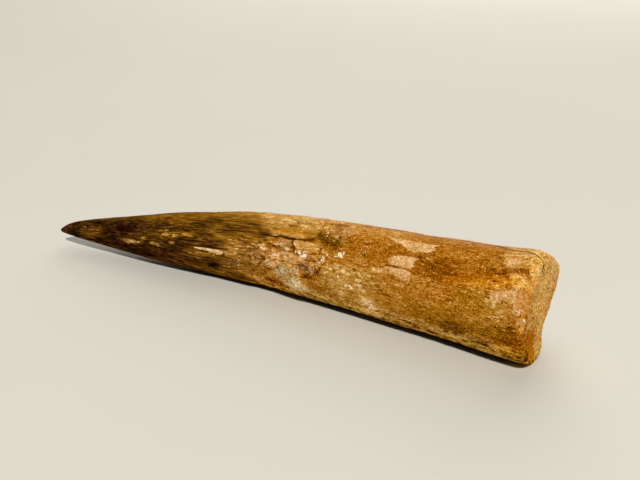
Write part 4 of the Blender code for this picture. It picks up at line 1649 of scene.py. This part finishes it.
@dataclass(frozen=True)
class SkinFinish:
    """The whole skin: enamel, root, pale patches, crusts of sand, cracks and the sandy break."""

    enamel: EnamelFinish = EnamelFinish()
    root: RootFinish = RootFinish()
    sand: SandFinish = SandFinish()
    crust: SandFinish = SandFinish(
        tones=stops(
            (0, 130, 96, 44), (0.2, 166, 130, 72), (0.5, 186, 152, 96), (0.8, 204, 176, 126),
            (1, 240, 222, 186),
        ),
        size=0.27,
        gap=linear(140, 100, 48),
        gap_shade=0.35,
        hole_shade=0.35,
        cloud=Weave(1.1, 1.4, 0.7),
    )
    crust_light: Pair = (2.2, -1.4)  # how its grains follow the stain's lightness
    patch: SandFinish = SandFinish(
        tones=stops(
            (0, 186, 128, 60), (0.2, 212, 158, 96), (0.6, 228, 180, 118), (1, 246, 206, 152),
        ),
        size=0.36,
        gap=linear(184, 126, 60),
        hole_shade=0.3,
    )
    creams: Stops = stops(
        (0.1, 196, 142, 66), (0.4, 232, 184, 116), (0.8, 254, 222, 168),
    )
    chip_streaks: Weave = Weave(0.42, 4.0, 1.0)
    # dark colour painted into the cracks, for the shade in them
    crack: Colour = linear(52, 26, 6)
    crack_shade: float = 0.85
    # dark colour painted into the hollows, as their shade
    hollow: Colour = linear(70, 36, 6)
    hollow_shade: float = 0.45
    hollow_reach: Pair = (0.2, 1.4)
    # deepens the real orange stain, and on the underside paints its shade
    deepening: Colour = (1.12, 0.96, 0.40, 1.0)
    coat: float = 0.9
    coat_bend: float = 1.25
    coat_roughness: float = 0.3

    def make(self) -> bpy.types.Material:
        """Makes the skin's material.

        Returns:
            The material.
        """
        material, bench, sockets = surface("fossil_skin")
        bench.place, light = bench.read(Layer.PLACE), bench.read(Layer.LIGHT)

        def edge(layer: Layer, size: float, amount: float, softness: float) -> Socket:
            """Ragged mask of a layer, whose edge strays by an amount, in bites of a size."""
            sizes = {"size": size, "amount": amount, "softness": softness}
            node = bench.group(Effect.RAGGED_EDGE, field=bench.read(layer), **sizes)
            return node.outputs[0]

        look = self.root.wire(bench, light)
        enamel = self.enamel.wire(bench, light)
        look = look.under(enamel, bench, edge(Layer.ENAMEL, 1.0, 1.3, 0.22))
        look.colour = bench.mix(bench.read(Layer.STAIN), look.colour, self.deepening, "MULTIPLY")
        lean = bench.math("MULTIPLY_ADD", light, *self.crust_light)
        for finish, lighter, mask in (
            (self.sand, 0.0, edge(Layer.BREAK, 1.0, 2.4, 0.5)),
            (self.patch, 0.0, edge(Layer.PALE, 0.8, 0.85, 0.12)),
            (self.crust, lean, edge(Layer.SAND, 0.9, 1.0, 0.3)),
        ):
            look = look.under(finish.wire(bench, lighter), bench, mask)
        shine = bench.plus(self.chip_streaks.swing(bench), 0.5)
        chip = edge(Layer.CREAM, 0.5, 0.45, 0.10)
        colour = bench.mix(chip, look.colour, bench.ramp(shine, self.creams))
        # painted shade in the cracks
        crack = edge(Layer.CRACK, 0.5, 0.16, 0.07)
        colour = bench.mix(bench.times(crack, self.crack_shade), colour, self.crack)
        # painted shade in the hollows
        hollow = bench.between(bench.read(Layer.HOLLOW), *self.hollow_reach)
        colour = bench.mix(bench.times(hollow, self.hollow_shade), colour, self.hollow)
        # painted shade beneath: the colour deepens where the skin turns down to the floor
        colour = bench.mix(bench.read(Layer.UNDERSIDE), colour, self.deepening, "MULTIPLY")
        bench.feed(sockets["Base Color"], colour)
        bench.feed(sockets["Roughness"], look.roughness)
        bench.feed(sockets["Coat Weight"], bench.times(bench.read(Layer.GLOSS), self.coat))
        sockets["Coat IOR"].default_value = self.coat_bend
        sockets["Coat Roughness"].default_value = self.coat_roughness
        bump = bench.add("Bump", {"Height": look.height, "Strength": 1.0, "Distance": MM})
        bench.feed(sockets["Normal"], bump.outputs[0])
        return material


@dataclass
class SkinPiece:
    """The tooth's dense skin as one piece, which stands for the solid."""

    skin: Skin
    layers: Layers
    name: str = "tooth_skin"
    margin: float = 0.01  # of the unwrapped square
    side_share: float = 0.62  # share of the square's height that the side takes
    disc: float = 0.17  # radius of the unwrapped break
    disc_middle: Pair = (0.5, 0.82)

    def _faces(self) -> list[tuple[int, ...]]:
        """Lists the faces between the rows, and the fans at the two poles.

        Returns:
            Each face's vertices.
        """
        rows, columns = self.skin.along.shape
        pairs = [(column, (column + 1) % columns) for column in range(columns)]
        faces = []
        for low in range(0, (rows - 1) * columns, columns):
            high = low + columns
            faces += [(low + here, high + here, high + after, low + after) for here, after in pairs]
        tip, end = rows * columns, rows * columns + 1
        last = (rows - 1) * columns
        for here, after in pairs:
            faces += [(tip, here, after), (end, last + after, last + here)]
        return faces

    def _unwrap(self, mesh: bpy.types.Mesh, faces: list[tuple[int, ...]]) -> None:
        """Lays the side out as a strip and the break as a disc, for the bake.

        Args:
            mesh: The skin's mesh.
            faces: Its faces.
        """
        skin = self.skin
        rows, columns = skin.along.shape
        vertex = np.concatenate(faces)
        face = np.repeat(np.arange(len(faces)), [len(corners) for corners in faces])
        fan = face - (rows - 1) * columns
        side_row, fan_row = face // columns, np.where(fan % 2 == 0, 0, rows - 2)
        face_row = np.where(fan < 0, side_row, fan_row)
        face_column = np.where(fan < 0, face % columns, fan // 2)
        tip, end = vertex == rows * columns, vertex == rows * columns + 1
        row = np.where(tip | end, 0, vertex // columns)
        column = np.where(tip | end, face_column, vertex % columns)
        wrapped = (face_column == columns - 1) & (column == 0)
        step = np.where(wrapped, columns, column) + np.where(tip, 0.5, 0.0)
        along = np.where(tip, -skin.tip_reach, skin.along[row, column])
        rim_row = rows - skin.end_rows
        longest = float(skin.along[rim_row].max())
        uv = np.zeros((len(vertex), 2))
        uv[:, 0] = self.margin + (1.0 - 2.0 * self.margin) * (along + 1.0) / (longest + 3.0)
        uv[:, 1] = self.margin + self.side_share * step / columns
        turn = np.radians(skin.cast_around[column])
        far = (rows - np.where(end, rows, row)) / skin.end_rows * self.disc
        on_break = face_row >= rim_row
        uv[on_break, 0] = (self.disc_middle[0] + far * np.sin(turn))[on_break]
        uv[on_break, 1] = (self.disc_middle[1] + far * np.cos(turn))[on_break]
        mesh.uv_layers.new(name="OFBake").data.foreach_set("uv", uv.ravel())

    def _store(self, mesh: bpy.types.Mesh, layer: Layer, values: Array) -> None:
        """Keeps a layer on the mesh, for the material.

        Args:
            mesh: The skin's mesh.
            layer: Which layer.
            values: Its value at every place of the grid. The poles take the mean of their row.
        """
        vector = layer is Layer.PLACE
        kept = mesh.attributes.new(layer.value, "FLOAT_VECTOR" if vector else "FLOAT", "POINT")
        poles = [values[0].mean(axis=0), values[-1].mean(axis=0)]
        flat = np.concatenate([values.reshape(-1, *values.shape[2:]), poles])
        kept.data.foreach_set("vector" if vector else "value", flat.astype(np.float32).ravel())

    def build(self) -> bpy.types.Object:
        """Builds the skin.

        Returns:
            The dressed piece.
        """
        skin = self.skin
        tip, end = skin.points[0].mean(axis=0), skin.points[-1].mean(axis=0)
        tip[0] = skin.low[0]
        corners = np.concatenate([skin.points.reshape(-1, 3), [tip, end]]) * MM
        mesh = bpy.data.meshes.new(self.name)
        faces = self._faces()
        mesh.from_pydata(corners.tolist(), [], faces)
        for layer, values in (self.layers.values | {Layer.PLACE: skin.place}).items():
            self._store(mesh, layer, values)
        self._unwrap(mesh, faces)
        mesh.validate()
        mesh.shade_smooth()
        mesh.materials.append(SkinFinish().make())
        piece = shown(self.name, mesh)
        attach(piece, BODY)
        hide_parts(NODE)
        return piece


@dataclass(frozen=True)
class Cluster:
    """Some small solids stuck on the skin about a place."""

    along: float
    around: float
    spread: float
    count: int
    size: float


CRYSTAL_CLUSTERS = tuple(
    Cluster(*sizes)
    for sizes in (
        (74.3, 58.5, 0.35, 7, 0.17), (75.2, 61, 0.4, 10, 0.25), (76.4, 64.2, 0.55, 18, 0.31),
        (77, 67, 0.4, 6, 0.17), (82.8, 56, 0.2, 4, 0.22), (82.1, 62, 0.5, 7, 0.2),
        (81.1, 68, 0.5, 8, 0.18), (80.8, 72, 0.5, 6, 0.16), (79.2, 65, 0.5, 4, 0.15),
        (85.9, 53.2, 0.5, 18, 0.32), (86.8, 50.6, 0.35, 7, 0.2), (85.6, 56.2, 0.35, 5, 0.18),
        (91.6, 36, 0.4, 5, 0.14), (88.3, 74.5, 0.7, 5, 0.17), (85.5, 86, 1.5, 8, 0.16),
        (74.8, 88, 1.00, 5, 0.18), (74.2, 97, 0.5, 4, 0.2), (92.3, 86, 0.7, 4, 0.18),
        (89.6, 91, 0.5, 5, 0.2), (91.2, 93, 0.5, 4, 0.2), (74.8, 110, 1.2, 12, 0.22),
        (94, 106, 1.00, 9, 0.2), (95, 115, 0.9, 7, 0.2), (96.3, 62.5, 0.4, 5, 0.18),
        (91.5, 44, 0.8, 6, 0.13), (81, 18, 1.2, 8, 0.14), (83.6, 28, 0.7, 5, 0.15),
        (65, 64, 0.35, 4, 0.2), (58.5, 88, 1.6, 6, 0.14), (129.6, 79, 0.35, 5, 0.24),
        (128.6, 70, 0.8, 6, 0.18), (124.5, 33, 0.8, 5, 0.16), (113.8, 78, 0.12, 2, 0.24),
        (77, 285, 1.6, 14, 0.24), (92, 240, 1.8, 12, 0.22), (112, 268, 1.6, 9, 0.2),
    )
)


@dataclass
class StuckGrains:
    """Small angular solids partly sunk into the skin, all in one piece."""

    skin: Skin
    name: str
    seed: int
    sunk: float = 0.35  # how much of its size a grain is sunk
    unevenness: float = 0.38
    stretches: Pair = (0.5, 1.25)
    blocky: bool = False  # whether a grain starts from a block instead of a ball
    block: float = 1.5  # the block's width, and its bevel
    bevel: float = 0.22

    def __post_init__(self) -> None:
        """Draws the plain solid that every grain starts from."""
        solid = bmesh.new()
        if self.blocky:
            bmesh.ops.create_cube(solid, size=self.block)
            edges = solid.edges[:]
            bmesh.ops.bevel(solid, geom=edges, offset=self.bevel, segments=1, affect="EDGES")
            bmesh.ops.triangulate(solid, faces=solid.faces[:])
        else:
            bmesh.ops.create_icosphere(solid, subdivisions=1, radius=1.0)
        self.corners = np.array([vertex.co for vertex in solid.verts])
        sides = np.array([[vertex.index for vertex in side.verts] for side in solid.faces])
        turned = [np.roll(side, -side.argmin()).tolist() for side in sides]
        self.sides = np.array(sorted(turned))  # in the same order each run
        solid.free()
        self.draw = np.random.default_rng(self.seed)
        self.shapes: list[Array] = []
        self.tones: list[float] = []

    def _add(self, row: int, column: int, size: float) -> None:
        """Adds a grain.

        Args:
            row: Row of the skin's grid on which it sits.
            column: Its column.
            size: The grain's usual radius, in millimetres.
        """
        draw, skin = self.draw, self.skin
        uneven = draw.uniform(-1.0, 1.0, (len(self.corners), 1))
        shape = self.corners * (1.0 + self.unevenness * uneven)
        shape = shape * draw.uniform(*self.stretches, 3)
        turn = np.linalg.qr(draw.normal(size=(3, 3)))[0]
        middle = skin.points[row, column] + skin.outward[row, column] * size * (0.5 - self.sunk)
        self.shapes.append(shape @ turn * size + middle)
        self.tones.append(draw.uniform())

    def stick(self, cluster: Cluster) -> None:
        """Adds a cluster's grains.

        Args:
            cluster: Where they are, and how large.
        """
        skin, draw = self.skin, self.draw
        for _ in range(cluster.count):
            along = cluster.along + draw.normal() * cluster.spread * 0.6
            sideways = draw.normal() * cluster.spread * 0.6
            around = cluster.around + math.degrees(sideways / skin.half_at(along))
            column = int(np.argmin(np.abs(turn_between(skin.around[0], around))))
            row = int(np.argmin(np.abs(skin.along[:, column] - along)))
            self._add(row, column, cluster.size * (0.35 + 0.8 * draw.uniform() ** 1.6))

    def scatter(self, share: Array, count: int, sizes: Pair) -> None:
        """Scatters grains over the skin.

        Args:
            share: How likely each place is.
            count: How many grains.
            sizes: Smallest and largest radius, in millimetres.
        """
        points = self.skin.points
        rows = np.linalg.norm(np.gradient(points, axis=0), axis=-1)
        columns = np.linalg.norm(np.roll(points, -1, axis=1) - points, axis=-1)
        weight = (share * rows * columns).ravel()
        for index in self.draw.choice(weight.size, size=count, p=weight / weight.sum()):
            row, column = divmod(int(index), self.skin.columns)
            grown = self.draw.uniform() ** 2.2
            self._add(row, column, sizes[0] + (sizes[1] - sizes[0]) * grown)

    def build(self, material: bpy.types.Material) -> bpy.types.Object:
        """Builds the grains.

        Args:
            material: What they are made of. It reads their tones.

        Returns:
            The dressed piece.
        """
        skin, each = self.skin, len(self.corners)
        corners = np.clip(np.concatenate(self.shapes), skin.low, skin.high) * MM
        sides = np.concatenate([self.sides + each * index for index in range(len(self.shapes))])
        mesh = bpy.data.meshes.new(self.name)
        mesh.from_pydata(corners.tolist(), [], sides.tolist())
        kept = mesh.attributes.new("tone", "FLOAT", "POINT")
        kept.data.foreach_set("value", np.repeat(np.array(self.tones, np.float32), each))
        mesh.validate()
        mesh.materials.append(material)
        piece = shown(self.name, mesh)
        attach(piece, BODY)
        return piece


@dataclass(frozen=True)
class GrainFinish:
    """What stuck grains are made of: a row of colours, picked by each grain's tone."""

    name: str
    colours: Stops
    roughness: float
    cloud: Weave = Weave(0.3, 1.0, 0.3)
    bump: float = 0.5
    bump_depth: float = 0.05  # in millimetres

    def make(self) -> bpy.types.Material:
        """Makes the grains' material.

        Returns:
            The material.
        """
        material, bench, sockets = surface(self.name)
        tone = bench.add("Attribute", {}, attribute_name="tone").outputs["Fac"]
        place = bench.add("TexCoord", {}).outputs["Object"]
        bench.place = bench.vector("SCALE", {0: place, "Scale": 1.0 / MM})
        swing = self.cloud.swing(bench)
        bench.feed(sockets["Base Color"], bench.ramp(bench.plus(tone, swing), self.colours))
        sockets["Roughness"].default_value = self.roughness
        inputs = {"Height": swing, "Strength": self.bump}
        inputs["Distance"] = self.bump_depth / self.cloud.strength * MM
        bench.feed(sockets["Normal"], bench.add("Bump", inputs).outputs[0])
        return material


WHITE_CRYSTAL = GrainFinish(
    "white_crystal", stops((0.0, 232, 194, 142), (0.3, 250, 230, 194), (1.0, 255, 248, 232)), 0.38
)
LOOSE_SAND = GrainFinish(
    "loose_sand",
    stops(
        (0, 110, 70, 14), (0.1, 190, 132, 44), (0.5, 226, 168, 80), (0.8, 236, 188, 106),
        (1, 247, 214, 150),
    ),
    0.55,
)


@dataclass(frozen=True)
class Lamp:
    """A square soft light that faces the tooth."""

    name: str
    place: tuple[float, float, float]  # in metres
    size: float  # length of its sides, in metres
    power: float  # in watts
    colour: Colour = linear(254, 252, 246)

    def hang(self) -> None:
        """Puts the light into the scene."""
        lamp = bpy.data.lights.new(self.name, "AREA")
        lamp.size, lamp.energy, lamp.color = self.size, self.power, self.colour[:3]
        holder = shown(self.name, lamp)
        holder.location = self.place
        holder.rotation_euler = (-Vector(self.place)).to_track_quat("-Z", "Y").to_euler()


@dataclass
class Studio:
    """A plain pale floor, soft lights and the camera."""

    camera_place: tuple[float, float, float] = (0.09662, -0.15815, 0.09627)
    look_down: float = 24.09  # degrees below level
    look_aside: float = 28.0
    lens: float = 47.8
    sensor: float = 36.0
    floor_size: float = 4.0
    floor_colour: Colour = linear(212, 209, 200)
    floor_shade: float = 0.955  # the darker of the floor's two tones, as a share of the lighter
    floor_clouds: float = 9.0  # how many of them go to a metre
    floor_roughness: float = 0.7
    lamps: tuple[Lamp, ...] = (
        Lamp("overhead", (-0.35, 0.10, 1.5), 0.65, 2.2),
        Lamp("ceiling", (-0.40, 1.0, 1.15), 1.2, 9.0),
        Lamp("key", (0.515, -0.915, 1.25), 0.12, 24.3),
        Lamp("back_panel", (-0.15, 0.85, 0.22), 0.7, 3.8),
    )
    room_colour: Colour = linear(250, 244, 232)
    room_light: float = 0.05

    def _floor(self) -> None:
        """Lays the floor."""
        mesh = bpy.data.meshes.new("floor")
        half = self.floor_size / 2.0
        corners = [(-half, -half, 0.0), (half, -half, 0.0), (half, half, 0.0), (-half, half, 0.0)]
        mesh.from_pydata(corners, [], [(0, 1, 2, 3)])
        material, bench, sockets = surface("floor_paint")
        place = bench.add("TexCoord", {}).outputs["Object"]
        inputs = {"Vector": place, "Scale": self.floor_clouds, "Detail": 2.0}
        noise = bench.add("TexNoise", inputs).outputs[0]
        darker = (*(channel * self.floor_shade for channel in self.floor_colour[:3]), 1.0)
        bench.feed(sockets["Base Color"], bench.mix(noise, self.floor_colour, darker))
        sockets["Roughness"].default_value = self.floor_roughness
        mesh.materials.append(material)
        shown("floor", mesh)

    def _camera(self) -> None:
        """Places the camera."""
        camera = bpy.data.cameras.new("camera")
        camera.lens, camera.sensor_width, camera.clip_start = self.lens, self.sensor, 0.01
        holder = shown("camera", camera)
        holder.location = self.camera_place
        tilt, turn = math.radians(90.0 - self.look_down), math.radians(self.look_aside)
        holder.rotation_euler = (tilt, 0.0, turn)
        bpy.context.scene.camera = holder

    def build(self) -> None:
        """Sets the stage."""
        self._floor()
        for lamp in self.lamps:
            lamp.hang()
        world = bpy.data.worlds.new("room")
        world.use_nodes = True
        room = world.node_tree.nodes["Background"].inputs
        room["Color"].default_value = self.room_colour
        room["Strength"].default_value = self.room_light
        bpy.context.scene.world = world
        bpy.context.scene.view_settings.view_transform = "Standard"
        self._camera()


WASHED_OFF = 0.9  # share of the loose grains that is gone where the break is stained


def main() -> None:
    """Builds the tooth, what is stuck on it, and its stage."""
    logging.basicConfig(level=logging.INFO, format="%(message)s")
    Studio().build()
    LOG.info("studio: floor, lights and camera")

    skin = Skin(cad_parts[NODE])
    LOG.info("skin cast: %d rows of %d", *skin.along.shape)
    relief = Relief(skin)
    layers = Layers(skin, relief, relief.raise_skin())
    piece = SkinPiece(skin, layers).build()
    LOG.info("%s: %d faces", piece.name, len(piece.data.polygons))

    crystals = StuckGrains(skin, "white_crystals", 41, unevenness=0.30, blocky=True)
    for cluster in CRYSTAL_CLUSTERS:
        crystals.stick(cluster)
    piece = crystals.build(WHITE_CRYSTAL.make())
    LOG.info("%s: %d crystals", piece.name, len(crystals.shapes))

    sand = StuckGrains(skin, "sand_grains", 42, sunk=0.85)
    clean = 1.0 - WASHED_OFF * layers.values[Layer.STAIN]
    root = (1.0 - relief.on_enamel) * (1.0 - relief.on_break)
    sand.scatter(relief.on_break * clean, 2700, (0.07, 0.24))
    sand.scatter(eased(0.5 + inside_any(skin, SAND_MARKS)), 260, (0.08, 0.26))
    sand.scatter(root * strongest(skin, SPECKLED_ZONES), 900, (0.06, 0.20))
    sand.scatter(root, 700, (0.06, 0.13))
    piece = sand.build(LOOSE_SAND.make())
    LOG.info("%s: %d grains", piece.name, len(sand.shapes))


if __name__ == "__main__":
    main()
